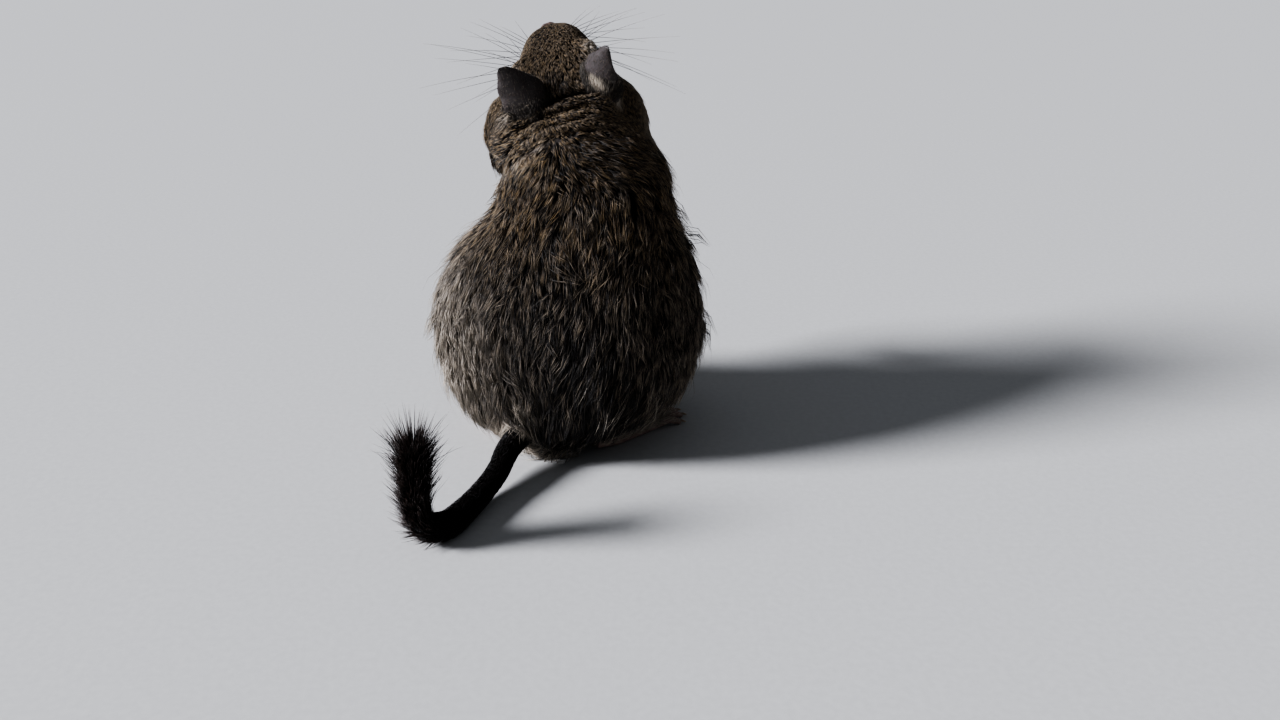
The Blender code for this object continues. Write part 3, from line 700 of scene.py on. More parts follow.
def spread(values: Array, edges: Array, rounds: int) -> Array:
    """Averages values over neighbouring corners, several times.

    Args:
        values: One row of values for each corner.
        edges: Pairs of corners that are neighbours.
        rounds: How often they are averaged.

    Returns:
        The averaged values.
    """
    count = len(values)
    flat = values.reshape(count, -1).astype(float)
    ends = np.concatenate([edges[:, 0], edges[:, 1]])
    others = np.concatenate([edges[:, 1], edges[:, 0]])
    share = 1 / (1 + np.bincount(ends, minlength=count))
    for _ in range(rounds):
        near = [np.bincount(ends, flat[others, k], count) for k in range(flat.shape[1])]
        flat = (flat + np.column_stack(near)) * share[:, None]
    return flat.reshape(values.shape)


def search_tree(points: Array, numbers: Array | None = None) -> KDTree:
    """A search tree over points.

    Args:
        points: The points.
        numbers: What the tree tells of each, or its place in the list if none are given.

    Returns:
        The tree.
    """
    tree = KDTree(len(points))
    told = range(len(points)) if numbers is None else numbers.tolist()
    for p, number in zip(points.tolist(), told):
        tree.insert(p, number)
    tree.balance()
    return tree


def nearest_in(tree: KDTree, points: Array) -> Array:
    """The number that a search tree tells for each point."""
    find = tree.find
    return np.array([find(p)[1] for p in points.tolist()], int)


def ball_faces(rows: int, columns: int) -> Array:
    """Triangles of a ball of rings that two more corners close.

    Args:
        rows: Number of rings.
        columns: Corners in each ring. The closing corners are numbered after all of them.

    Returns:
        The triangles.
    """
    j, k = np.arange(columns), (np.arange(columns) + 1) % columns
    last, count = (rows - 1) * columns, rows * columns
    faces = []
    for a in range(0, last, columns):
        b = a + columns
        faces += [np.column_stack([a + j, b + j, b + k]), np.column_stack([a + j, b + k, a + k])]
    faces.append(np.column_stack([j, k, np.full(columns, count)]))
    faces.append(np.column_stack([last + k, last + j, np.full(columns, count + 1)]))
    return np.vstack(faces)


def outward(points: Array, triangles: Array) -> Array:
    """Triangles of a closed shape, turned over if they face inwards.

    Args:
        points: Corners of the shape.
        triangles: Its triangles.

    Returns:
        The triangles, facing outwards.
    """
    a, b, c = (points[triangles[:, i]] for i in range(3))
    return triangles[:, ::-1] if (a * np.cross(b, c)).sum() < 0 else triangles


@dataclass
class Surface:
    """A triangle mesh that hair grows on, with what its hairs need to know at each corner.

    Attributes:
        points: Its corners.
        triangles: Its triangles.
        normals: The corners' normals.
        fields: Values at the corners: the hair's flow and lay, the markings, the regions and how sleek it is.
        tree: A search tree over the corners, made when it is first needed.
    """

    points: Array
    triangles: Array
    normals: Array
    fields: dict[str, Array] = field(default_factory=dict)
    tree: KDTree | None = None

    def below(self, height: float) -> "Surface":
        """The same surface with hair only on the trunk's lowest part.

        Args:
            height: Where the hair ends. It thins from half of that height.

        Returns:
            The surface, with the same corners.
        """
        lay = self.fields["lay"].copy()
        trunk = self.fields["regions"][:, Region.TRUNK.number]
        lay[:, 3] *= (1 - smooth_rise(self.points[:, 2], height * 0.5, height)) * (trunk > 0.8)
        return Surface(self.points, self.triangles, self.normals, self.fields | {"lay": lay}, self.tree)

    def follow(self, points: Array) -> tuple[Array, Array]:
        """Drops points onto the surface.

        Args:
            points: Points near the surface.

        Returns:
            The points on the surface, and the surface's normals there.
        """
        if self.tree is None:
            self.tree = search_tree(self.points)
        nearest = nearest_in(self.tree, points)
        normals = self.normals[nearest]
        away = ((points - self.points[nearest]) * normals).sum(1, keepdims=True)
        return points - normals * away, normals


# The animal's pose.


@dataclass(frozen=True)
class HeadPose:
    """Where the head is held: its own axes have the nose along +Y and the crown along +Z."""

    middle: tuple = (0.3, 13.0, 104.4)
    turn_left: float = 18.0
    lift: float = 43.0
    drop_left: float = -25.0

    def matrix(self) -> Matrix:
        """From the head's axes to the model's."""
        return (
            Matrix.Translation(self.middle)
            @ Matrix.Rotation(math.radians(self.turn_left), 4, "Z")
            @ Matrix.Rotation(math.radians(self.lift), 4, "X")
            @ Matrix.Rotation(math.radians(self.drop_left), 4, "Y")
        )

    def turn(self) -> Array:
        """The rotation alone, as an array."""
        return np.array(self.matrix().to_3x3())

    def to_model(self, points: Array) -> Array:
        """Points in the head's axes carried to the model's."""
        return np.atleast_2d(points) @ self.turn().T + np.array(self.middle)

    def to_head(self, points: Array) -> Array:
        """Points of the model carried to the head's axes."""
        return (points - np.array(self.middle)) @ self.turn()


@dataclass(frozen=True)
class BodyPose:
    """How the square upright body is turned and leant, as the solids have it."""

    pelvis_turn: float = -12.0
    turn_top: float = 92.0
    turn_bottom: float = 35.0
    sway: tuple = ((0, -2.5), (20, -0.6), (50, 0.3), (66, 2.6), (80, 6.0), (92, 5.2), (104, 1.8))

    def place(self, points: Array) -> Array:
        """Points of the square body carried to where the pose puts them.

        Args:
            points: Points of the square body.

        Returns:
            The points in the pose.
        """
        points = np.atleast_2d(points).astype(float)
        share = smooth_rise(self.turn_top - points[:, 2], 0, self.turn_top - self.turn_bottom)
        turn = math.radians(self.pelvis_turn) * share
        x = points[:, 0] * np.cos(turn) - points[:, 1] * np.sin(turn)
        y = points[:, 0] * np.sin(turn) + points[:, 1] * np.cos(turn)
        return np.column_stack([x + through(self.sway, points[:, 2])[:, 0], y, points[:, 2]])


HEAD = HeadPose()
POSE = BodyPose()
NOSE_TIP = np.array([0.0, 33.0, 0.5])
EYE_CENTRE = np.array([12.8, 10.8, 4.4])
EYE_AXIS = unit(np.array([0.90, 0.34, 0.27]))
EYE_RADIUS = 4.3
NECK_PLANE = (np.array([-1.0, 9.0, 93.0]), np.array([-0.06, 0.42, 0.91]))
TAIL_ROOT = np.array([-6.0, -26.0, 12.0])
TAIL_ROUTE = (
    (-5.0, -19.0, 17.0),
    (-13.0, -28.0, 12.0),
    (-18.3, -37.0, 8.4),
    (-20.7, -46.8, 5.8),
    (-24.0, -55.5, 4.3),
    (-28.2, -65.5, 3.7),
    (-32.2, -73.5, 3.9),
    (-36.4, -77.6, 6.0),
    (-38.8, -78.0, 12.0),
    (-39.0, -78.0, 19.5),
    (-38.4, -78.2, 30.0),
)
TAIL_RADII = (
    (0.0, 5.4),
    (0.20, 4.1),
    (0.45, 3.7),
    (0.60, 4.1),
    (0.71, 4.5),
    (0.82, 4.1),
    (0.93, 3.3),
    (1.0, 1.3),
)
TAIL_DEPTH = 0.9
FOREARM = (
    (23.5, 19.0, 60.5),
    (24.5, 28.0, 57.5),
    (19.5, 36.5, 59.0),
    (13.5, 41.5, 62.5),
    (9.5, 44.0, 66.0),
)
FOOT_HEEL = np.array([16.0, -16.0, 0.0])
FOOT_SPLAY = math.radians(37)
TOES = (
    (-4.2, -6.4, 20.0, 27.5),
    (-3.0, -4.4, 24.0, 33.0),
    (-0.9, -1.2, 25.0, 34.8),
    (1.3, 2.3, 24.5, 33.8),
    (3.6, 5.7, 22.5, 30.0),
)
PAW_DOWN = unit(np.array([-0.10, 0.34, -0.93]))
FINGERS = ((-2.3, -3.4, 4.2), (-0.8, -1.2, 5.6), (0.8, 1.2, 5.4), (2.3, 3.4, 4.2))


def mirrored(point: Array, sign: int) -> Array:
    """A point given for the right side, put on one side."""
    return np.array([point[0] * sign, point[1], point[2]])


def on_foot(points: Array | list, sign: int) -> Array:
    """Points given along a straight right foot, put where the foot of one side stands."""
    spin = np.array(Matrix.Rotation(-FOOT_SPLAY * sign, 3, "Z"))
    return POSE.place(np.asarray(points, float) * [sign, 1, 1] @ spin.T + mirrored(FOOT_HEEL, sign))


def hand_axes(sign: int) -> tuple[Array, Array, Array, Array, Array]:
    """Where the hand of one side hangs.

    Args:
        sign: The side's number.

    Returns:
        Its wrist and palm, and its ahead, down and across directions.
    """
    before, wrist = POSE.place(np.array([mirrored(np.array(p), sign) for p in FOREARM[-2:]]))
    ahead, down = unit(wrist - before), mirrored(PAW_DOWN, sign)
    return wrist, wrist + ahead * 3.0 + down * 6.0, ahead, down, unit(np.cross(ahead, down))


# Hide and coat.


@dataclass(frozen=True)
class Lay:
    """How the hair of one region lies.

    Real hair is under 0.05 mm wide, too fine to show here, so it is drawn as coarse as it needs to show.

    Attributes:
        length: Length of a hair.
        depth: How far the hair tips stand off the skin.
        width: Width of a hair as it is drawn.
        density: Hairs on a square millimetre.
    """

    length: float
    depth: float
    width: float
    density: float


class Region(Enum):
    """The regions of the coat, each with the solids that it covers and its lay."""

    TRUNK = (("torso", "thigh_left", "thigh_right"), Lay(9.2, 2.3, 0.27, 4.7))
    NECK = (("neck",), Lay(7.0, 2.0, 0.24, 5.4))
    HEAD = (("head",), Lay(4.5, 1.35, 0.165, 10.5))
    FORELEG = (("foreleg_left", "foreleg_right"), Lay(3.2, 0.8, 0.17, 8.0))
    PAW = (("forepaw_left", "forepaw_right"), Lay(1.5, 0.65, 0.12, 7.0))
    FOOT = (("hind_foot_left", "hind_foot_right"), Lay(2.2, 0.65, 0.14, 6.0))
    TAIL = (("tail_root", "tail_middle", "tail_bend"), Lay(3.6, TAIL_DEPTH, 0.17, 9.0))

    @property
    def number(self) -> int:
        """The region's column among the weights."""
        return REGIONS.index(self)


REGIONS = list(Region)


@dataclass
class Hide:
    """One seamless skin from nose to tail tip, inside the solids by the depth of the coat.

    Attributes:
        voxel: Size of the grid that the skin is drawn on.
        grow: How far the solids are grown so that the gaps between them close.
        spread_rounds: How often a region's edge is averaged.
        lips: The line of the mouth, in the head's axes.
        cleft: The line from the nose to it.
        nape: The line of the topmost fold of the nape.
        folds: How far each fold lies under that line, how deep it is and how far it reaches.
        sleek: How sleek the coat of each region lies, below 0 where it is tousled.
    """

    voxel: float = 0.72
    grow: float = 0.22
    spread_rounds: int = 8
    lips: tuple = (
        (-9.2, 15.0, -10.2),
        (-7.0, 21.0, -9.9),
        (-3.6, 27.0, -9.6),
        (0, 29.5, -9.0),
        (3.6, 27.0, -9.6),
        (7.0, 21.0, -9.9),
        (9.2, 15.0, -10.2),
    )
    cleft: tuple = ((0, 34.0, -2.2), (0, 33.5, -4.5), (0, 32.0, -6.8), (0, 29.5, -9.0))
    nape: tuple = (
        (-15.3, -1.7, 104.6),
        (-9.3, 0.4, 107.6),
        (-2.4, 0.1, 110.2),
        (4.7, 0.4, 112.1),
        (10.8, -0.5, 112.9),
    )
    folds: tuple = ((0.0, 2.4, 2.4), (4.4, 1.7, 1.9), (8.4, 1.6, 1.8), (12.6, 1.2, 1.8))
    sleek: tuple = (-0.25, -0.25, 0.45, 0.8, 0.8, 0.8, 1.0)

    def solid(self, name: str) -> tuple[Array, Array]:
        """Corners and triangles of one solid, in millimetres, with doubled corners made one.

        Args:
            name: The solid's name.

        Returns:
            Its corners and triangles.
        """
        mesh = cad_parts[name].data
        mesh.calc_loop_triangles()
        points = read(mesh.vertices, "co", 3) / MM
        triangles = read(mesh.loop_triangles, "vertices", 3, np.int32)
        _, first, index = np.unique(np.round(points, 3), axis=0, return_index=True, return_inverse=True)
        return points[first], index.reshape(-1)[triangles]

    def gathered(self) -> tuple[Array, Array, KDTree]:
        """Gathers all flesh solids, grown until their gaps close.

        Returns:
            Corners, triangles, and a search tree that tells the region of the nearest corner.
        """
        shapes, tags = [], []
        for number, region in enumerate(REGIONS):
            for name in region.value[0]:
                points, triangles = self.solid(name)
                tags.append((number, points))
                points = points + corner_normals(points, triangles) * self.grow
                shapes.append((points, triangles, np.zeros(len(points))))
        end = route(TAIL_ROUTE, 41)[26:]
        radii = through(TAIL_RADII, np.linspace(0, 1, 41))[26:, 0]
        core = np.maximum(radii * np.linspace(0.95, 0.75, len(radii)), 1.0)
        shapes.append(tube(end, core, 16))
        tags.append((Region.TAIL.number, end))
        numbers = np.repeat([number for number, _ in tags], [len(points) for _, points in tags])
        tree = search_tree(np.vstack([points for _, points in tags]), numbers)
        points, triangles, _ = merged(shapes)
        return points, triangles, tree

    def build(self) -> tuple[Mesh, Surface]:
        """Melts the solids to one skin, sinks it by the coat's depth and works out the lay of the hair.

        Returns:
            The skin's mesh, and the surface that hair grows on.
        """
        points, triangles, tree = self.gathered()
        mesh, points, triangles, edges = melted("hide", points, triangles, self.voxel, 4)
        weights = spread(np.eye(len(REGIONS))[nearest_in(tree, points)], edges, self.spread_rounds)
        normals = corner_normals(points, triangles)
        lay = weights @ np.array([astuple(region.value[1]) for region in REGIONS])
        self.shape_face(points, weights, lay)
        soft = unit(spread(normals, edges, 10))
        self.clear_feet(points, soft, weights, lay)
        bare = self.bareness(points, weights)
        marks = Markings().at(points, normals, weights)
        points = points - soft * lay[:, 1:2]
        self.sink_mouth(points, normals)
        self.sink_nape(points, soft, marks, lay)
        points[:, 2] = np.maximum(points[:, 2], FLOOR_GAP)
        normals = corner_normals(points, triangles)
        flow = self.flow(points, normals, weights)
        flow = spread(flow, edges, 6)
        flow = unit(flow - normals * (flow * normals).sum(1, keepdims=True))
        surface = Surface(points, triangles, normals)
        surface.fields = {
            "flow": flow,
            "lay": lay,
            "marks": marks,
            "bare": bare[:, None],
            "regions": weights,
            "sleek": weights @ np.array(self.sleek)[:, None],
        }
        mesh.vertices.foreach_set("co", (points * MM).astype(np.float32).ravel())
        mesh.shade_smooth()
        set_values(mesh, "marks", marks)
        set_values(mesh, "bare", bare)
        return mesh, surface

    def shape_face(self, points: Array, weights: Array, lay: Array) -> None:
        """Shortens and thins the hair towards nose, eyes and lips, and lengthens it on the cheeks.

        Args:
            points: Corners of the hide.
            weights: How far each belongs to each region.
            lay: Their hair, which it changes.
        """
        head = HEAD.to_head(points)
        on_head = weights[:, Region.HEAD.number]
        muzzle = smooth_rise(head[:, 1], 8.0, 30.0) * on_head
        lay[:, 0] *= 1 - 0.62 * muzzle
        lay[:, 1] *= 1 - 0.72 * muzzle
        lay[:, 2] *= 1 - 0.35 * muzzle
        lay[:, 3] *= 1 + 0.5 * muzzle
        cheek = smooth_rise(-head[:, 2], 0.0, 12.0) * (1 - smooth_rise(head[:, 1], 8.0, 20.0)) * on_head
        lay[:, 0] *= 1 + 0.5 * cheek
        for sign in SIDES.values():
            away = np.linalg.norm(head - mirrored(EYE_CENTRE, sign), axis=1)
            near = 1 - smooth_rise(away, 4.6, 8.5)
            lay[:, 0] *= 1 - 0.6 * near
            lay[:, 1] *= 1 - 0.8 * near
            lay[:, 3] *= np.where(away < 4.9, 0.0, 1.0)
        nose = 1 - smooth_rise(np.linalg.norm(head - NOSE_TIP, axis=1), 1.5, 5.0)
        lay[:, 0] *= 1 - 0.7 * nose
        lay[:, 1] *= 1 - 0.8 * nose
        seat = (1 - smooth_rise(points[:, 2], 0.4, 1.2)) * (on_head < 0.5)
        lay[:, 3] *= 1 - 0.85 * seat

    def clear_feet(
        self, points: Array, normals: Array, weights: Array, lay: Array
    ) -> None:
        """Shortens the coat that would hang over the hind feet, and draws the skin in so that they show.

        The right foot stands further under the rump, so more is cleared there.

        Args:
            points: Corners of the hide, which it moves.
            normals: Their normals.
            weights: How far each belongs to each region.
            lay: Their hair, which it shortens.
        """
        rump = weights[:, Region.TRUNK.number]
        for sign in SIDES.values():
            ahead = np.array([sign * math.sin(FOOT_SPLAY), math.cos(FOOT_SPLAY), 0.0])
            path = POSE.place(mirrored(FOOT_HEEL, sign) + np.outer(np.linspace(0, 34, 18), ahead))
            away = np.linalg.norm(points[:, None, :2] - path[None, :, :2], axis=2).min(1)
            more = 3.0 if sign > 0 else 0.0
            near = 1 - smooth_rise(away, 8.0 + more / 2, 15.0 + more)
            near *= 1 - smooth_rise(points[:, 2], 9.0 + more, 20.0 + 2 * more)
            lay[:, 0] *= 1 - 0.74 * near
            lay[:, 1] *= 1 - 0.62 * near
            lay[:, 3] *= 1 + 0.8 * near
            low = (1 - smooth_rise(away, 6.0, 14.0)) * (1 - smooth_rise(points[:, 2], 6.0, 18.0))
            inset = rump * (1.2 * near + (2.4 + 0.5 * more) * low) + 1.2 * (1 - rump) * near
            points -= normals * inset[:, None]

    def bareness(self, points: Array, weights: Array) -> Array:
        """How bare the skin is: soles, toes and palms."""
        limbs = weights[:, Region.FOOT.number] + weights[:, Region.PAW.number]
        return np.clip(limbs * 0.8 - 0.2, 0, 1)

    def sink_mouth(self, points: Array, normals: Array) -> None:
        """Presses the line of the mouth and the cleft under the nose into the skin.

        Args:
            points: Corners of the hide, which it moves.
            normals: Their normals.
        """
        head = HEAD.to_head(points)
        face = np.nonzero((head[:, 1] > 12) & (head[:, 2] < 2) & (points[:, 2] > 80))[0]
        for line, reach, depth in ((self.lips, 1.3, 0.9), (self.cleft, 0.9, 0.5)):
            path = route(line, 40)
            gaps = np.linalg.norm(head[face][:, None] - path[None], axis=2)
            snapped = head[face][gaps.argmin(0)]
            away = np.linalg.norm(head[face][:, None] - snapped[None], axis=2).min(1)
            points[face] -= normals[face] * (depth * (1 - smooth_rise(away, 0.0, reach)))[:, None]

    def sink_nape(
        self, points: Array, normals: Array, marks: Array, lay: Array
    ) -> None:
        """Presses the folds of the lifted head's nape in, with painted shade in them as darker fur, and short
        fur above them.

        Args:
            points: Corners of the hide, which it moves.
            normals: Their normals.
            marks: Their markings, which it darkens in the folds as painted shade.
            lay: Their hair, which it shortens.
        """
        path = route(self.nape, 40)
        near = np.nonzero(np.linalg.norm(points - path[20], axis=1) < 36)[0]
        down = unit(np.array([0.0, -0.55, -0.83]))
        for drop, depth, reach in self.folds:
            fold = path + down * drop
            offset = points[near][:, None] - fold[None]
            gaps = np.linalg.norm(offset, axis=2)
            nearest = gaps.argmin(1)
            away = gaps[np.arange(len(near)), nearest]
            below = offset[np.arange(len(near)), nearest] @ down
            deep = 1 - smooth_rise(away, 0.4, reach)
            ledge = np.exp(-(((below - 2.6) / 1.3) ** 2)) * (1 - smooth_rise(away, 3.0, 5.0))
            points[near] -= normals[near] * (depth * (deep - 0.5 * ledge))[:, None]
            # Painted shade: the fur in each fold is darkened and its cream taken out.
            marks[near, 2] = np.maximum(marks[near, 2], min(1.0, 0.36 * depth) * deep)
            marks[near, 0] *= 1 - 0.7 * deep
            above = (1 - smooth_rise(away, 2.5, 5.5)) * (below < 0.6)
            lay[near, 0] *= 1 - 0.5 * above * min(1.0, depth)
            lay[near, 1] *= 1 - 0.45 * deep * min(1.0, depth)
            lay[near, 3] *= 1 - 0.5 * deep * (depth > 1.5)

    def flow(self, points: Array, normals: Array, weights: Array) -> Array:
        """The way that the hair lies: back from the nose, down the body to the tail, and out along the limbs.

        Args:
            points: Corners of the hide.
            normals: Their normals.
            weights: How far each belongs to each region.

        Returns:
            A direction for each corner, along the skin.
        """
        nose = HEAD.to_model(NOSE_TIP)[0]
        ways = np.empty((len(points), len(REGIONS), 3))
        trunk = 0.6 * unit(TAIL_ROOT - points) + 0.62 * -UP
        outward = np.clip((points[:, :1] - 1.0) / 12.0, -1, 1) * np.array([1.0, 0.0, 0.0])
        trunk += 0.75 * outward * smooth_rise(normals[:, 1:2], -0.1, 0.5)
        ways[:, :] = trunk[:, None]
        ways[:, Region.HEAD.number] = unit(points - nose)
        ways[:, Region.NECK.number] = 0.3 * unit(points - nose) + trunk
        behind = smooth_rise(points[:, 2], 84, 99) * smooth_rise(7 - points[:, 1], 0, 6)
        sideways = np.clip((points[:, 0] + 4.0) / 14.0, -0.7, 1.0) * behind
        ways[:, :, 0] += (2.0 * sideways)[:, None] * np.linalg.norm(ways, axis=2)
        for region, side_route in ((Region.FORELEG, FOREARM), (Region.PAW, FOREARM)):
            ways[:, region.number] = self.along_limb(points, side_route)
        ways[:, Region.PAW.number] += 1.5 * np.array([0.0, 0.3, -0.95])
        sign = np.sign(points[:, 0])
        ways[:, Region.FOOT.number] = np.column_stack(
            [sign * math.sin(FOOT_SPLAY), np.full(len(points), math.cos(FOOT_SPLAY)), np.zeros(len(points))]
        )
        tail = route(TAIL_ROUTE, 41)
        ahead = unit(np.gradient(tail, axis=0))
        near = np.nonzero(weights[:, Region.TAIL.number] > 0.02)[0]
        nearest = np.linalg.norm(points[near][:, None] - tail[None], axis=2).argmin(1)
        ways[near, Region.TAIL.number] = ahead[nearest]
        total = (unit(ways) * weights[:, :, None]).sum(1)
        return unit(total - normals * (total * normals).sum(1, keepdims=True))

    def along_limb(self, points: Array, side_route: tuple) -> Array:
        """The direction of the nearest stretch of a limb, on either side of the body.

        Args:
            points: Points near the limb.
            side_route: The limb's route on the right side.

        Returns:
            A direction for each point.
        """
        both = []
        for sign in SIDES.values():
            path = POSE.place(route([mirrored(np.array(p), sign) for p in side_route], 16))
            both.append((path, unit(np.gradient(path, axis=0))))
        paths = np.vstack([path for path, _ in both])
        ahead = np.vstack([way for _, way in both])
        ways = np.zeros_like(points)
        for start in range(0, len(points), 20000):
            part = points[start : start + 20000]
            nearest = np.linalg.norm(part[:, None] - paths[None], axis=2).argmin(1)
            ways[start : start + 20000] = ahead[nearest]
        return ways


@dataclass(frozen=True)
class Markings:
    """Where the coat is cream, golden or crowded with black hairs, with painted light on the lit left flank
    and painted shade low in the middle of the rump among the patches. Skin and coat both read it.

    Attributes:
        patches: Middle and reach of each patch, and its three shares.
    """

    patches: tuple = (
        ((-18.2, -0.6, 104.2), 3.8, (0.5, 0.0, 0.0)),
        ((10.9, 2.6, 115.4), 4.2, (1.0, 0.0, 0.0)),
        ((15.9, 4.9, 111.3), 4.0, (0.6, 0.0, 0.0)),
        ((-10.5, -8.3, 99.0), 11.0, (0.28, 1.0, 0.0)),
        ((1.0, -3.0, 104.0), 9.0, (0.14, 0.9, 0.0)),
        ((-23.0, 1.0, 97.0), 13.0, (0.06, 0.7, 0.36)),
        ((-19.5, -1.5, 90.5), 4.0, (0.5, 0.7, 0.0)),
        ((6.3, 8.0, 118.7), 3.2, (0.0, 0.2, 1.0)),
        # These two make the fur black low in the middle of the rump: partly the fur's own dark, partly
        # painted shade where the rump is in shade.
        ((10.0, -26.0, 22.0), 34.0, (0.0, 0.3, 1.0)),
        ((6.0, -36.0, 11.0), 25.0, (0.0, 0.1, 1.0)),
        # Painted light: the left flank, which faces the light, is made paler.
        ((-40.0, -14.0, 38.0), 38.0, (0.43, 0.1, 0.06)),
        ((-25.6, -23.5, 7.0), 11.0, (0.85, 0.1, 0.0)),
        ((-15.5, -35.7, 24.3), 4.2, (1.0, 0.1, 0.0)),
        ((-21.0, -30.0, 13.5), 8.0, (1.0, 0.1, 0.0)),
        ((-14.5, -34.0, 13.5), 5.5, (0.8, 0.1, 0.0)),
        ((-9.5, 2.5, 110.5), 7.0, (0.0, 0.4, 0.9)),
        ((-4.0, 4.5, 113.5), 9.0, (0.0, 0.5, 0.62)),
    )

    def at(self, points: Array, normals: Array, weights: Array) -> Array:
        """Works out the markings.

        Args:
            points: Corners of the hide.
            normals: Their normals.
            weights: How far each belongs to each region.

        Returns:
            Cream, gold and black shares, from 0 to 1.
        """
        region = {r: weights[:, i] for i, r in enumerate(REGIONS)}
        head = HEAD.to_head(points)
        trunk = region[Region.TRUNK] + region[Region.NECK]
        belly = smooth_rise(normals[:, 1], 0.25, 0.85) * smooth_rise(points[:, 1], 8, 26) * trunk
        under = smooth_rise(-normals[:, 2], 0.35, 0.85) * (1 - smooth_rise(points[:, 2], 12, 22)) * trunk
        throat = smooth_rise(-head[:, 2], 8.5, 13.0) * region[Region.HEAD]
        rump = 0.16 * (1 - smooth_rise(points[:, 2], 14, 46)) * trunk
        cheek = 0.34 * smooth_rise(-head[:, 2], -3.0, 8.0) * region[Region.HEAD]
        pale = np.maximum.reduce([0.85 * belly, 0.8 * under, 0.85 * throat, rump, cheek])
        for sign in SIDES.values():
            offset = head - mirrored(EYE_CENTRE, sign)
            away = np.linalg.norm(offset, axis=1)
            ring = (1 - smooth_rise(away, 6.2, 9.0)) * smooth_rise(np.abs(offset[:, 2]), 1.0, 3.5)
            pale = np.maximum(pale, 0.8 * ring * region[Region.HEAD])
        limbs = region[Region.FOOT] + region[Region.PAW]
        pale = np.maximum(pale, 0.9 * limbs)
        pale = np.maximum(pale, 0.55 * region[Region.FORELEG])
        warm = 0.15 + 0.4 * smooth_rise(points[:, 2], 50, 90) * trunk + 0.35 * region[Region.HEAD]
        spine = np.exp(-(((points[:, 0] - 3) / 14) ** 2)) * smooth_rise(-normals[:, 1], 0.2, 0.9)
        low = 1 - smooth_rise(points[:, 2], 45, 85)
        dark = (0.24 + 0.14 * low + (0.12 + 0.3 * low) * spine) * trunk
        marks = np.column_stack([pale, warm, dark])
        for middle, reach, values in self.patches:
            away = np.linalg.norm(points - np.array(middle), axis=1)
            near = (1 - smooth_rise(away, reach * 0.3, reach))[:, None]
            marks = marks + (np.array(values) - marks) * near
        return np.clip(marks, 0, 1)


@dataclass(frozen=True)
class Unwrap:
    """Lays the animal's skin out flat: six faces of a box for the head and six for the rest, in tiles.

    Attributes:
        low: Lowest corner of the box round the animal.
        span: Size of the box.
        margin: Share of a tile that stays free at its edges.
        patch: Size of a hair's own patch on the map.
    """

    low: tuple = (-50.0, -92.0, -2.0)
    span: tuple = (100.0, 150.0, 134.0)
    margin: float = 0.04
    patch: float = 0.003

    def at(self, points: Array, normals: Array, on_head: Array) -> Array:
        """The place of each skin point on the flat map, by the side of the box that it faces.

        Args:
            points: Points on the skin.
            normals: The skin's normals there.
            on_head: Which of them are on the head.

        Returns:
            Two numbers from 0 to 1 for each.
        """
        axis = np.abs(normals).argmax(1)
        facing = np.take_along_axis(normals, axis[:, None], 1)[:, 0] > 0
        tile = axis * 2 + facing + 6 * on_head.astype(int)
        scaled = (points - np.array(self.low)) / np.array(self.span)
        u = np.where(axis == 0, scaled[:, 1], scaled[:, 0])
        v = np.where(axis == 2, scaled[:, 1], scaled[:, 2])
        inside = np.column_stack([u, v]) * (1 - 2 * self.margin) + self.margin
        corner = np.column_stack([(tile % 4) / 4, (tile // 4) / 3])
        return corner + inside * np.array([1 / 4, 1 / 3])

    def map_faces(self, mesh: Mesh, head: Array) -> None:
        """Gives a skin mesh its OFBake map, each face whole on one side of the box.

        Args:
            mesh: The skin's mesh.
            head: How far each corner belongs to the head.
        """
        count = len(mesh.polygons)
        normals = read(mesh.polygons, "normal", 3)
        totals = read(mesh.polygons, "loop_total", 1, np.int32)
        corners = read(mesh.loops, "vertex_index", 1, np.int32)
        points = read(mesh.vertices, "co", 3) / MM
        face = np.repeat(np.arange(count), totals)
        starts = np.concatenate([[0], np.cumsum(totals)[:-1]])
        on_head = head[corners[starts]] > 0.5
        uv = self.at(points[corners], normals[face], on_head[face])
        layer = mesh.uv_layers.new(name="OFBake")
        layer.data.foreach_set("uv", uv.astype(np.float32).ravel())


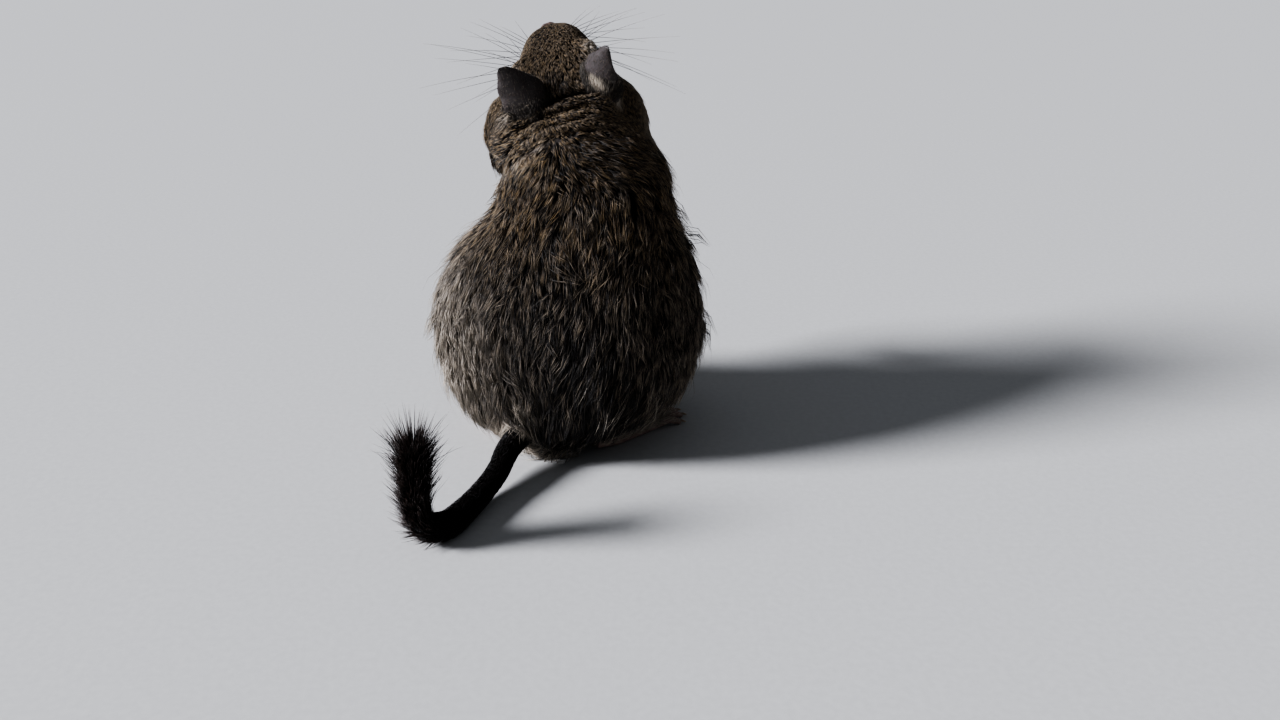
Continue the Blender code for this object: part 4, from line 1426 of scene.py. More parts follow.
@dataclass
class Tufts:
    """Hairs as thin closed blades of three sides, in arrays until they become meshes.

    Attributes:
        paths: Root, middle and tip of each hair.
        outward: The way out of the skin at each root.
        widths: Width of each hair.
        tones: A number from 0 to 1 that sets each hair's own colour.
        marks: The markings at each root.
        places: Each root's place on the unwrapped skin.
        regions: The number of the region that each root is on.
    """

    paths: Array
    outward: Array
    widths: Array
    tones: Array
    marks: Array
    places: Array
    regions: Array

    def chosen(self, keep: Array) -> "Tufts":
        """Only some of the hairs."""
        return Tufts(*(getattr(self, each.name)[keep] for each in fields(self)))

    def curved(self) -> "Tufts":
        """Bends the hairs in a smooth arc, with one more ring each.

        Returns:
            The bent hairs.
        """
        root, middle, tip = self.paths[:, 0], self.paths[:, 1], self.paths[:, 2]
        pull = 2 * middle - (root + tip) / 2
        steps = (0.0, 1 / 3, 2 / 3, 1.0)
        arcs = [root * (1 - t) ** 2 + pull * 2 * t * (1 - t) + tip * t * t for t in steps]
        return replace(self, paths=np.stack(arcs, 1))

    def mesh(self, name: str) -> Mesh:
        """One mesh of all the hairs, each a spindle with a ring at every inner point of its path.

        Args:
            name: The mesh's name.

        Returns:
            The mesh, with the values that the hair's finish reads.
        """
        count, steps = self.paths.shape[:2]
        root, tip = self.paths[:, 0], self.paths[:, -1]
        side = unit(np.cross(self.outward, unit(tip - root)))
        rise = unit(np.cross(unit(tip - root), side))
        half = self.widths[:, None] / 2
        section = [side * half - rise * half * 0.3, -side * half - rise * half * 0.3, rise * half * 0.7]
        rings = steps - 2
        taper = 1 - 0.28 * np.arange(rings)
        rows = [self.paths[:, i + 1] + taper[i] * s for i in range(rings) for s in section]
        corners = [root, *rows, tip]
        points = np.stack(corners, 1).reshape(-1, 3)
        points[:, 2] = np.maximum(points[:, 2], FLOOR_GAP)
        each = len(corners)
        pattern = [(0, 1 + k, 1 + (k + 1) % 3) for k in range(3)]
        for i in range(rings - 1):
            for k in range(3):
                a, b = 1 + 3 * i + k, 1 + 3 * i + (k + 1) % 3
                pattern += [(a, a + 3, b), (b, a + 3, b + 3)]
        pattern += [(each - 1, each - 4 + (k + 1) % 3, each - 4 + k) for k in range(3)]
        faces = (np.array(pattern)[None] + each * np.arange(count)[:, None, None]).reshape(-1, 3)
        made = mesh_of(name, points, faces)
        along = np.repeat(np.linspace(0, 1, steps)[1:-1], 3)
        share = np.concatenate([[0.0], along, [1.0]])
        set_values(made, "share", np.tile(share, count))
        set_values(made, "tone", np.repeat(self.tones, each))
        set_values(made, "marks", np.repeat(self.marks, each, axis=0))
        sideways = np.concatenate([[0.0], np.tile([-0.4, 0.4, 0.0], rings), [0.0]])
        local = np.column_stack([sideways, share - 0.5]) * Unwrap().patch
        uv = (self.places[:, None] + local[None]).reshape(-1, 2)
        layer = made.uv_layers.new(name="OFBake")
        layer.data.foreach_set("uv", uv[faces.ravel()].astype(np.float32).ravel())
        return made


@dataclass
class Coat:
    """Grows clumped hair over a surface, lying along its flow.

    Attributes:
        seed: Where its random numbers start.
        clump: Hairs that draw together to one lock.
        gather: How far a lock's hairs meet at its tip, from 0 to 1.
        herd: Locks that draw together to one tuft.
        herd_gather: How far a tuft's locks meet at its tip, from 0 to 1.
        stray: How far locks turn off the flow, in degrees.
        sink: How deep the roots lie in the skin.
        density: Hairs as a share of each region's own number.
        reach: Shortest and longest lock, as a share of the region's length.
        rise: Lowest and highest lock, as a share of the region's depth.
        thick: Width of a hair as a share of the region's.
    """

    seed: int = 11
    clump: float = 9.0
    gather: float = 0.68
    herd: float = 6.0
    herd_gather: float = 0.42
    stray: float = 12.0
    sink: float = 0.35
    density: float = 1.0
    reach: tuple = (0.78, 1.16)
    rise: tuple = (0.55, 1.1)
    thick: float = 1.0

    def roots(self, surface: Surface, chance: np.random.Generator) -> tuple[Array, dict]:
        """Scatters roots over the surface by its density, and reads the surface's fields there.

        Args:
            surface: What the hair grows on.
            chance: Where the random numbers come from.

        Returns:
            The roots, and the surface's fields at each.
        """
        a, b, c = (surface.points[surface.triangles[:, i]] for i in range(3))
        area = np.linalg.norm(np.cross(b - a, c - a), axis=1) / 2
        lay = surface.fields["lay"]
        expected = area * lay[surface.triangles, 3].mean(1) * self.density
        total = int(expected.sum())
        pick = chance.choice(len(area), total, p=expected / expected.sum())
        shares = chance.dirichlet((1, 1, 1), total)
        corners = surface.triangles[pick]
        points = (surface.points[corners] * shares[:, :, None]).sum(1)
        values = {k: (v[corners] * shares[:, :, None]).sum(1) for k, v in surface.fields.items()}
        values["normal"] = unit((surface.normals[corners] * shares[:, :, None]).sum(1))
        values["flow"] = unit(values["flow"])
        return points, values

    def paths(
        self,
        surface: Surface,
        roots: Array,
        values: dict,
        turn: Array,
        reach: Array,
        lift: Array,
    ) -> Array:
        """Root, middle and tip of hairs that follow the surface under them.

        Args:
            surface: What they grow on.
            roots: Where they start.
            values: The surface's fields at the roots.
            turn: How far each turns off the flow, in radians.
            reach: Each hair's length as a share of its region's.
            lift: How high each stands as a share of its region's depth.

        Returns:
            Three points for each hair.
        """
        normal, flow, lay = values["normal"], values["flow"], values["lay"]
        way = flow * np.cos(turn)[:, None] + np.cross(normal, flow) * np.sin(turn)[:, None]
        length = (lay[:, 0] * reach)[:, None]
        height = (lay[:, 1] * lift)[:, None]
        middle, middle_normal = surface.follow(roots + way * length * 0.48)
        onward = unit(way - middle_normal * (way * middle_normal).sum(1, keepdims=True))
        tip, tip_normal = surface.follow(middle + onward * length * 0.52)
        raised = middle + middle_normal * height * 0.72
        return np.stack([roots - normal * self.sink, raised, tip + tip_normal * height], 1)

    @staticmethod
    def homes(
        roots: Array, share: float, chance: np.random.Generator
    ) -> tuple[Array, Array]:
        """Picks some hairs to lead the others.

        Args:
            roots: Where all hairs start.
            share: How many of them lead, from 0 to 1.
            chance: Where the random numbers come from.

        Returns:
            The leaders' numbers, and the place in that list of each hair's nearest leader.
        """
        leaders = np.nonzero(chance.random(len(roots)) < share)[0]
        return leaders, nearest_in(search_tree(roots[leaders]), roots)

    @staticmethod
    def drawn(paths: Array, lead: Array, pull: Array) -> Array:
        """Hairs bent towards the hairs that lead them, more so towards their tips.

        Args:
            paths: Paths of the hairs.
            lead: Path of each one's leader.
            pull: How far each bends, from 0 to 1.

        Returns:
            The bent paths.
        """
        span = np.linalg.norm(lead[:, 2] - lead[:, 0], axis=1)
        own = np.linalg.norm(paths[:, 2] - paths[:, 0], axis=1)
        scale = np.clip(own / np.maximum(span, 1e-6), 0.6, 1.15)[:, None, None]
        near = lead[:, :1] + (lead - lead[:, :1]) * scale
        share = pull[:, None, None] * np.array([0.0, 0.42, 1.0])[None, :, None]
        return paths * (1 - share) + near * share

    def grow(self, surface: Surface) -> Tufts:
        """Grows the coat.

        Args:
            surface: What the hair grows on.

        Returns:
            The hairs.
        """
        chance = np.random.default_rng(self.seed)
        roots, values = self.roots(surface, chance)
        count = len(roots)
        centres, home = self.homes(roots, 1 / self.clump, chance)
        heads, herd = self.homes(roots[centres], 1 / self.herd, chance)
        sleek = values["sleek"][:, 0]
        calm = 1 - sleek[centres]
        locks = len(centres)
        places = roots[centres]
        wave = np.sin(places @ np.array([0.11, 0.07, 0.13]) + 1.0)
        wave += np.sin(places @ np.array([-0.19, 0.16, 0.05]) + 2.2)
        herd_turn = chance.normal(0, math.radians(self.stray), len(heads))[herd]
        own_turn = chance.normal(0, math.radians(self.stray), locks)
        lock_turn = (0.75 * herd_turn + 0.75 * own_turn) * (0.15 + 0.85 * calm) + wave * 0.10 * calm
        lock_reach = chance.uniform(*self.reach, locks)
        herd_lift = chance.uniform(0.72, 1.28, len(heads)) + 0.5 * (chance.random(len(heads)) < 0.10)
        lock_lift = chance.uniform(*self.rise, locks) * herd_lift[herd]
        lock_lift += (0.8 - lock_lift) * sleek[centres]
        lock_tone = (chance.normal(0, 0.11, locks) + chance.normal(0, 0.08, len(heads))[herd]) * calm
        lock_marks = 1 + chance.normal(0, 0.28, (locks, 3)) * np.clip(calm, 0, 1)[:, None]
        centre_values = {k: v[centres] for k, v in values.items()}
        leads = self.paths(surface, places, centre_values, lock_turn, lock_reach, lock_lift)
        leads = self.drawn(leads, leads[heads][herd], self.herd_gather * np.clip(calm, 0.1, 1.0))

        turn = lock_turn[home] + chance.normal(0, 0.12, count)
        reach = lock_reach[home] * chance.uniform(0.72, 1.14, count)
        lift = lock_lift[home] * chance.uniform(0.6, 1.15, count)
        paths = self.paths(surface, roots, values, turn, reach, lift)
        paths = self.drawn(paths, leads[home], self.gather * np.clip(1 - sleek, 0.2, 1.0))
        regions = values["regions"].argmax(1)
        return Tufts(
            paths,
            values["normal"],
            values["lay"][:, 2] * self.thick * chance.uniform(0.7, 1.25, count),
            np.clip(chance.random(count) * 0.9 + 0.05 + lock_tone[home], 0, 1),
            np.clip(values["marks"] * lock_marks[home] + chance.normal(0, 0.04, (count, 3)), 0, 1),
            Unwrap().at(roots, values["normal"], regions == Region.HEAD.number),
            regions,
        )


@dataclass
class CoatPieces:
    """Divides the grown coat into pieces that a person would name, each under the limit of triangles."""

    most_hairs: int = 32500

    def sector(self, roots: Array, regions: Array) -> Array:
        """Names the part of the coat that each root is on.

        Args:
            roots: Where the hairs start.
            regions: The number of the region that each is on.

        Returns:
            A name for each.
        """
        names = np.full(len(roots), "flank_right", dtype="U16")
        turn = np.degrees(np.arctan2(roots[:, 0] - 1, -roots[:, 1]))
        names[turn < 0] = "flank_left"
        names[np.abs(turn) < 48] = "back"
        names[np.abs(turn) > 128] = "belly"
        on_head = regions == Region.HEAD.number
        names[on_head] = np.where(roots[on_head][:, 0] < 0, "head_left", "head_right")
        names[regions == Region.TAIL.number] = "tail"
        return names

    def build(self, tufts: Tufts, finishes: dict) -> None:
        """Makes the coat's pieces, each with the finish of the part of the body it is on.

        Args:
            tufts: The grown hairs.
            finishes: Material and slot name for the "tail" and for the rest of the "body". The slot name is
                not used.
        """
        roots = tufts.paths[:, 0]
        names = self.sector(roots, tufts.regions)
        for name in sorted(set(names.tolist())):
            mine = np.nonzero(names == name)[0]
            mine = mine[np.argsort(roots[mine, 2], kind="stable")]
            parts = math.ceil(len(mine) / self.most_hairs)
            for number, part in enumerate(np.array_split(mine, parts), 1):
                title = f"coat_{name}" if parts == 1 else f"coat_{name}_{number}"
                finish, slot = finishes["tail" if name == "tail" else "body"]
                piece_of(title, tufts.chosen(part).mesh(title), finish)
                LOG.info("%s: %d hairs", title, len(part))


@dataclass
class LooseHair:
    """The hair that stands off the coat: a fringe at the floor, fine wisps on the outline and guard hairs.

    Attributes:
        share: Share of the hairs to grow.
        fringe_height: How far up the fringe grows.
        crown_height: How far up guard hairs grow on the head.
    """

    share: float
    fringe_height: float = 9.0
    crown_height: float = 122.0

    @staticmethod
    def on_body(tufts: Tufts) -> Array:
        """Which hairs are on the trunk or the neck."""
        return np.isin(tufts.regions, [Region.TRUNK.number, Region.NECK.number])

    @staticmethod
    def pale(tufts: Tufts, least: Array) -> None:
        """Makes each hair at least as cream as a share says."""
        tufts.marks[:, 0] = np.maximum(tufts.marks[:, 0], least)

    def fringe(self, surface: Surface) -> Tufts:
        """Mostly cream hairs where the rump meets the floor.

        Args:
            surface: What they grow on.

        Returns:
            The hairs.
        """
        locks = {"clump": 6.0, "gather": 0.6, "herd": 3.0, "herd_gather": 0.2, "stray": 18.0}
        size = {"density": 0.9 * self.share, "reach": (0.9, 1.5), "rise": (1.1, 2.5), "thick": 0.95}
        tufts = Coat(seed=19, **locks, **size).grow(surface.below(self.fringe_height))
        self.pale(tufts, 0.7 * (tufts.tones > 0.35))
        self.pale(tufts, 0.95 * (tufts.tones > 0.6))
        return tufts

    def peaks(self, surface: Surface) -> Tufts:
        """Thin wisps over trunk and neck, paler low on the left as painted light on the lit side.

        Args:
            surface: What they grow on.

        Returns:
            The hairs.
        """
        locks = {"clump": 10.0, "gather": 0.9, "herd": 2.0, "herd_gather": 0.2, "stray": 14.0}
        size = {"density": 0.055 * self.share, "reach": (0.95, 1.2), "rise": (1.1, 1.9), "thick": 0.85}
        tufts = Coat(seed=29, **locks, **size).grow(surface)
        tufts = tufts.chosen(self.on_body(tufts))
        # Painted light: wisps low on the left, the lit side, are made cream.
        lit_low_left = (tufts.paths[:, 0, 0] < -35) & (tufts.paths[:, 0, 2] < 44)
        self.pale(tufts, 0.95 * lit_low_left * (tufts.tones > 0.4))
        return tufts

    def guard(self, surface: Surface) -> Tufts:
        """Single long hairs on body and crown, some of them pale-tipped; low on the right more of them are
        paler, a painted highlight of hairs catching the light.

        Args:
            surface: What they grow on.

        Returns:
            The hairs.
        """
        locks = {"clump": 1.0, "gather": 0.0, "herd": 1.0, "herd_gather": 0.0, "stray": 6.0}
        size = {"density": 0.07 * self.share, "reach": (1.2, 1.45), "rise": (1.1, 1.6), "thick": 0.55}
        tufts = Coat(seed=17, **locks, **size).grow(surface)
        on_head = tufts.regions == Region.HEAD.number
        crown = on_head & (tufts.tones > 0.62) & (tufts.paths[:, 0, 2] < self.crown_height)
        tufts = tufts.chosen(self.on_body(tufts) | crown)
        # Pale tips everywhere, and low on the right a painted highlight where guard hairs catch the light.
        frost_and_sheen = 0.2 + 0.7 * ((tufts.paths[:, 0, 2] < 42) & (tufts.paths[:, 0, 0] > 8))
        self.pale(tufts, frost_and_sheen * (tufts.tones > 0.8))
        return tufts.curved()

    def build(self, surface: Surface, finish: Material) -> None:
        """Makes the three pieces of loose hair.

        Args:
            surface: What it grows on.
            finish: The coat's material.
        """
        for name, tufts in (
            ("coat_fringe", self.fringe(surface)),
            ("coat_peaks", self.peaks(surface)),
            ("guard_hair", self.guard(surface)),
        ):
            piece_of(name, tufts.mesh(name), finish)
            LOG.info("%s: %d hairs", name, len(tufts.widths))


# Ears, eyes, nose, claws, whiskers, brush.


@dataclass
class Pinna:
    """One thin cupped ear, as the solid has it but finer, with a rolled base and a slack rear edge."""

    side: str
    root: tuple
    tip_way: tuple
    open_way: tuple
    length: float = 18.6
    sunk: float = 4.4
    tip_out: float = 6.4
    sections: tuple = (
        (0.0, 6.0, 104),
        (0.16, 7.5, 82),
        (0.36, 7.8, 62),
        (0.58, 6.8, 50),
        (0.78, 4.8, 42),
        (0.92, 2.7, 34),
        (1.0, 0.9, 26),
    )
    wall: tuple = ((0.0, 1.1), (0.5, 0.85), (1.0, 0.6))
    base_fur: float = 4.2
    base_pale: float = 0.3
    pale_at: float = 0.0
    taper: float = 0.0

    def frame(self) -> tuple[Array, Array, Array, Array]:
        """Finds the ear's own axes.

        Returns:
            The ear's across, opening and rise directions, and its base.
        """
        rise = unit(np.array(self.tip_way))
        opening = np.array(self.open_way)
        opening = unit(opening - rise * (opening @ rise))
        across = np.cross(opening, rise)
        return across, opening, rise, HEAD.to_model(np.array(self.root))[0] - rise * 2.6

    def sheet(self, offset: Array, along: Array, over: Array) -> Array:
        """Points of the ear's middle layer moved out by an offset.

        Args:
            offset: Distance out of the middle layer, towards the ear's back.
            along: Share of the ear's length.
            over: Place across it, from -1 to 1.

        Returns:
            The points.
        """
        across, opening, rise, base = self.frame()
        half, curl = through(self.sections, along).T
        half = half * (1 - self.taper * smooth_rise(along, 0.35, 0.95))
        curl = np.radians(curl)
        radius = half / np.sin(np.minimum(curl, math.pi / 2))
        turn = curl * over
        rim = smooth_rise(np.abs(over), 0.7, 1.0)
        ripple = 0.35 * rim * np.sin(along * 17 + over * 3)
        sign = SIDES[self.side]
        r = radius + offset + ripple
        x = r * np.sin(turn) + self.tip_out * along**2 * sign
        y = radius - r * np.cos(turn)
        z = self.length * along - (self.sunk - 2.6) * (1 - along) ** 3
        return base + x[:, None] * across + y[:, None] * opening + z[:, None] * rise

    def build(self, finish: Material) -> Surface:
        """Makes the ear and the surface that its fine hair grows on.

        Args:
            finish: The ear skin's material.

        Returns:
            The surface.
        """
        rows, columns = 34, 30
        along, over = np.meshgrid(np.linspace(0, 1, rows), np.linspace(-1, 1, columns), indexing="ij")
        along, over = along.ravel(), over.ravel()
        half_wall = through(self.wall, along)[:, 0] / 2 * (1 - 0.45 * smooth_rise(np.abs(over), 0.75, 1.0))
        back, front = self.sheet(half_wall, along, over), self.sheet(-half_wall, along, over)
        grid = np.arange(rows * columns).reshape(rows, columns)
        quads = (grid[:-1, :-1], grid[:-1, 1:], grid[1:, 1:], grid[1:, :-1])
        a, b, c, d = (part.ravel() for part in quads)
        shell = np.vstack([np.column_stack([a, b, c]), np.column_stack([a, c, d])])
        edge = np.concatenate([grid[0], grid[1:, -1], grid[-1, -2::-1], grid[-2:0:-1, 0]])
        ahead = np.roll(edge, -1)
        count = rows * columns
        before, after = edge + count, ahead + count
        rim = np.vstack([np.column_stack([edge, before, after]), np.column_stack([edge, after, ahead])])
        points = np.vstack([back, front])
        triangles = outward(points, np.vstack([shell, shell[:, ::-1] + count, rim]))
        normals = corner_normals(points, triangles)
        mesh = mesh_of(f"pinna_{self.side}", points, triangles)
        made = piece_of(f"pinna_{self.side}", mesh, finish)
        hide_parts(f"ear_{self.side}")
        surface = Surface(points, triangles, normals)
        share = np.concatenate([along, along])
        on_back = np.concatenate([np.ones(count), np.zeros(count)])
        base = (1 - smooth_rise(share, 0.24, 0.42)) * on_back
        density = np.where(on_back > 0, 4.0, 1.5) * smooth_rise(share, 0.03, 0.12) * (1 + 1.8 * base)
        inner = 1.2 * (1 - on_back) * (1 - smooth_rise(share, 0.1, 0.5))
        length = 1.1 + (self.base_fur - 1.1) * base + inner
        rise = self.frame()[2]
        flow = unit(rise - normals * (normals @ rise)[:, None])
        lay = np.column_stack([length, 0.16 + 1.0 * base, 0.07 + 0.08 * base, density])
        slant = self.pale_at + 1.8 * (0.24 - share)
        middle = 1 - smooth_rise(np.abs(np.concatenate([over, over]) - slant), 0.08, 0.3)
        pale = 0.10 + self.base_pale * base * middle * smooth_rise(share, 0.13, 0.22)
        dark = 0.55 + 0.45 * base * (1 - middle * self.base_pale)
        marks = np.column_stack([pale, np.full(2 * count, 0.2), dark])
        regions = np.tile(np.eye(len(REGIONS))[Region.HEAD.number], (2 * count, 1))
        surface.fields = {
            "flow": flow,
            "lay": lay,
            "marks": marks,
            "regions": regions,
            "sleek": np.full((2 * count, 1), 0.7),
        }
        return surface


@dataclass
class Eye:
    """One dark eyeball with its cornea, and the rolled rim of its lids."""

    side: str
    lid_ring: tuple = (4.45, 3.9)
    lid_out: float = 1.9
    lid_radius: float = 0.62
    rise_cornea: float = 0.055

    def axes(self) -> tuple[Array, Array, Array, Array]:
        """Finds the eye's own axes.

        Returns:
            Its centre, and its gaze, forward and upward directions, in the head's axes.
        """
        sign = SIDES[self.side]
        gaze = mirrored(EYE_AXIS, sign)
        ahead = unit(np.array([0.0, 1.0, 0.0]) - gaze * gaze[1])
        return mirrored(EYE_CENTRE, sign), gaze, ahead, np.cross(gaze, ahead) * sign

    def build(self, wet: Material, rim: Material) -> None:
        """Makes the eyeball and its lid rim.

        Args:
            wet: The eyeball's material.
            rim: The material of the lids' rim.
        """
        centre, gaze, ahead, rise = self.axes()
        rows, columns = 40, 56
        polar = np.linspace(0.02, math.pi - 0.02, rows)
        cornea = 1 + self.rise_cornea * np.exp(-((polar / 0.55) ** 2))
        steps = centre + np.outer(np.cos(polar) * EYE_RADIUS * cornea, gaze)
        turns = 2 * math.pi * np.arange(columns) / columns
        ring = np.outer(np.cos(turns), ahead) + np.outer(np.sin(turns), rise)
        points = [s + ring * math.sin(p) * EYE_RADIUS * c for s, p, c in zip(steps, polar, cornea)]
        points += [centre + gaze * EYE_RADIUS * (1 + self.rise_cornea), centre - gaze * EYE_RADIUS]
        points = np.vstack(points)
        triangles = outward(points, ball_faces(rows, columns))
        mesh = mesh_of(f"eyeball_{self.side}", HEAD.to_model(points), triangles)
        set_values(mesh, "gaze", np.concatenate([np.repeat(polar / math.pi * 2, columns), [0.0, 2.0]]) / 1.4)
        ball = piece_of(f"eyeball_{self.side}", mesh, wet)
        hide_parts(f"eye_{self.side}")
        around = 72
        turns = 2 * math.pi * np.arange(around + 1) / around
        middle = centre + gaze * self.lid_out
        long, high = self.lid_ring
        path = middle + np.outer(np.cos(turns) * long, ahead) + np.outer(np.sin(turns) * high, rise)
        radii = self.lid_radius * (1 + 0.12 * np.sin(turns * 9) * np.sin(turns * 4 + 1))
        corners, triangles, _ = tube(path, radii, 12)
        mesh = mesh_of("lid_rim", HEAD.to_model(corners), triangles)
        piece_of(f"lid_rim_{self.side}", mesh, rim)


@dataclass
class NosePad:
    """The small bare nose with two comma-shaped nostrils and a groove between them."""

    centre: tuple = (0.0, 31.7, 0.5)
    radii: tuple = (2.75, 2.0, 2.0)
    nostril: tuple = (1.25, 0.1)

    def build(self, finish: Material) -> None:
        """Makes the pad from a fine ellipsoid pressed in at the nostrils and the groove.

        Args:
            finish: The bare skin's material.
        """
        rows, columns = 48, 64
        turns = 2 * math.pi * np.arange(columns) / columns
        polar, turn = np.meshgrid(np.linspace(0.01, math.pi - 0.01, rows), turns, indexing="ij")
        way = np.stack([np.sin(polar) * np.cos(turn), np.cos(polar), np.sin(polar) * np.sin(turn)], -1)
        way = way.reshape(-1, 3)
        points = way * np.array(self.radii)
        front = smooth_rise(way[:, 1], 0.0, 0.5)
        for sign in (-1, 1):
            dx = points[:, 0] - sign * (self.nostril[0] + 0.25 * points[:, 2])
            dz = points[:, 2] - self.nostril[1]
            pit = np.exp(-((dx / 0.42) ** 2) - (dz / 0.62) ** 2)
            points[:, 1] -= 1.1 * pit * front
            wing = np.exp(-(((np.hypot(dx, dz * 0.7) - 0.75) / 0.3) ** 2))
            points += way * (0.18 * wing * front)[:, None]
        groove = np.exp(-((points[:, 0] / 0.22) ** 2))
        points[:, 1] -= 0.45 * groove * front * smooth_rise(-points[:, 2], -0.4, 0.6)
        points = np.vstack([points, [[0, self.radii[1] * 0.98, 0]], [[0, -self.radii[1], 0]]])
        triangles = outward(points, ball_faces(rows, columns))
        mesh = mesh_of("nose_pad", HEAD.to_model(points + np.array(self.centre)), triangles)
        piece_of("nose_pad", mesh, finish)


@dataclass
class Claws:
    """The horn claws of one side: five on the hind foot and four on the hand."""

    side: str
    hind_length: float = 3.3
    fore_length: float = 2.1
    hind_radius: float = 0.62
    fore_radius: float = 0.42

    @staticmethod
    def claw(start: Array, ahead: Array, down: Array, length: float, radius: float) -> Shape:
        """One curved claw, thick at the quick and sharp at the tip.

        Args:
            start: Where the digit ends.
            ahead: The way the claw points.
            down: The way it curves.
            length: Its length.
            radius: Its radius at the quick.

        Returns:
            Corners, triangles and shares of the length.
        """
        t = np.linspace(-0.35, 1.0, 10)
        points = start + np.outer(t * length, ahead) + np.outer(0.32 * length * np.maximum(t, 0) ** 2, down)
        radii = radius * np.sqrt(np.clip(1.02 - ((t + 0.35) / 1.35) ** 1.6, 0.01, 1))
        return tube(points, radii, 12)

    def build(self, finish: Material) -> None:
        """Makes the claws of both feet of this side.

        Args:
            finish: The horn's material.
        """
        sign = SIDES[self.side]
        shapes = []
        for inner, outer, start, end in TOES:
            knuckle, tip = ((inner + outer) / 2, (start + end) / 2, 2.2), (outer, end, 1.4)
            before, last = on_foot([knuckle, tip], sign)
            ahead = unit((last - before) * np.array([1, 1, 0.3]))
            quick = last - ahead * 0.5 + UP * 0.2
            shapes.append(self.claw(quick, ahead, -UP, self.hind_length, self.hind_radius))
        _, palm, ahead, down, across = hand_axes(sign)
        for start, end, length in FINGERS:
            root = palm - down + across * start
            knuckle = root + down * length * 0.55 + ahead * 0.7 + across * (end - start) * 0.6
            tip = root + down * (length + 0.6) - ahead * 0.2 + across * (end - start)
            way = unit(tip - knuckle)
            shapes.append(self.claw(tip - way * 0.4, way, -ahead, self.fore_length, self.fore_radius))
        points, triangles, share = merged(shapes)
        mesh = mesh_of(f"claws_{self.side}", points, triangles)
        set_values(mesh, "share", share)
        piece_of(f"claws_{self.side}", mesh, finish)


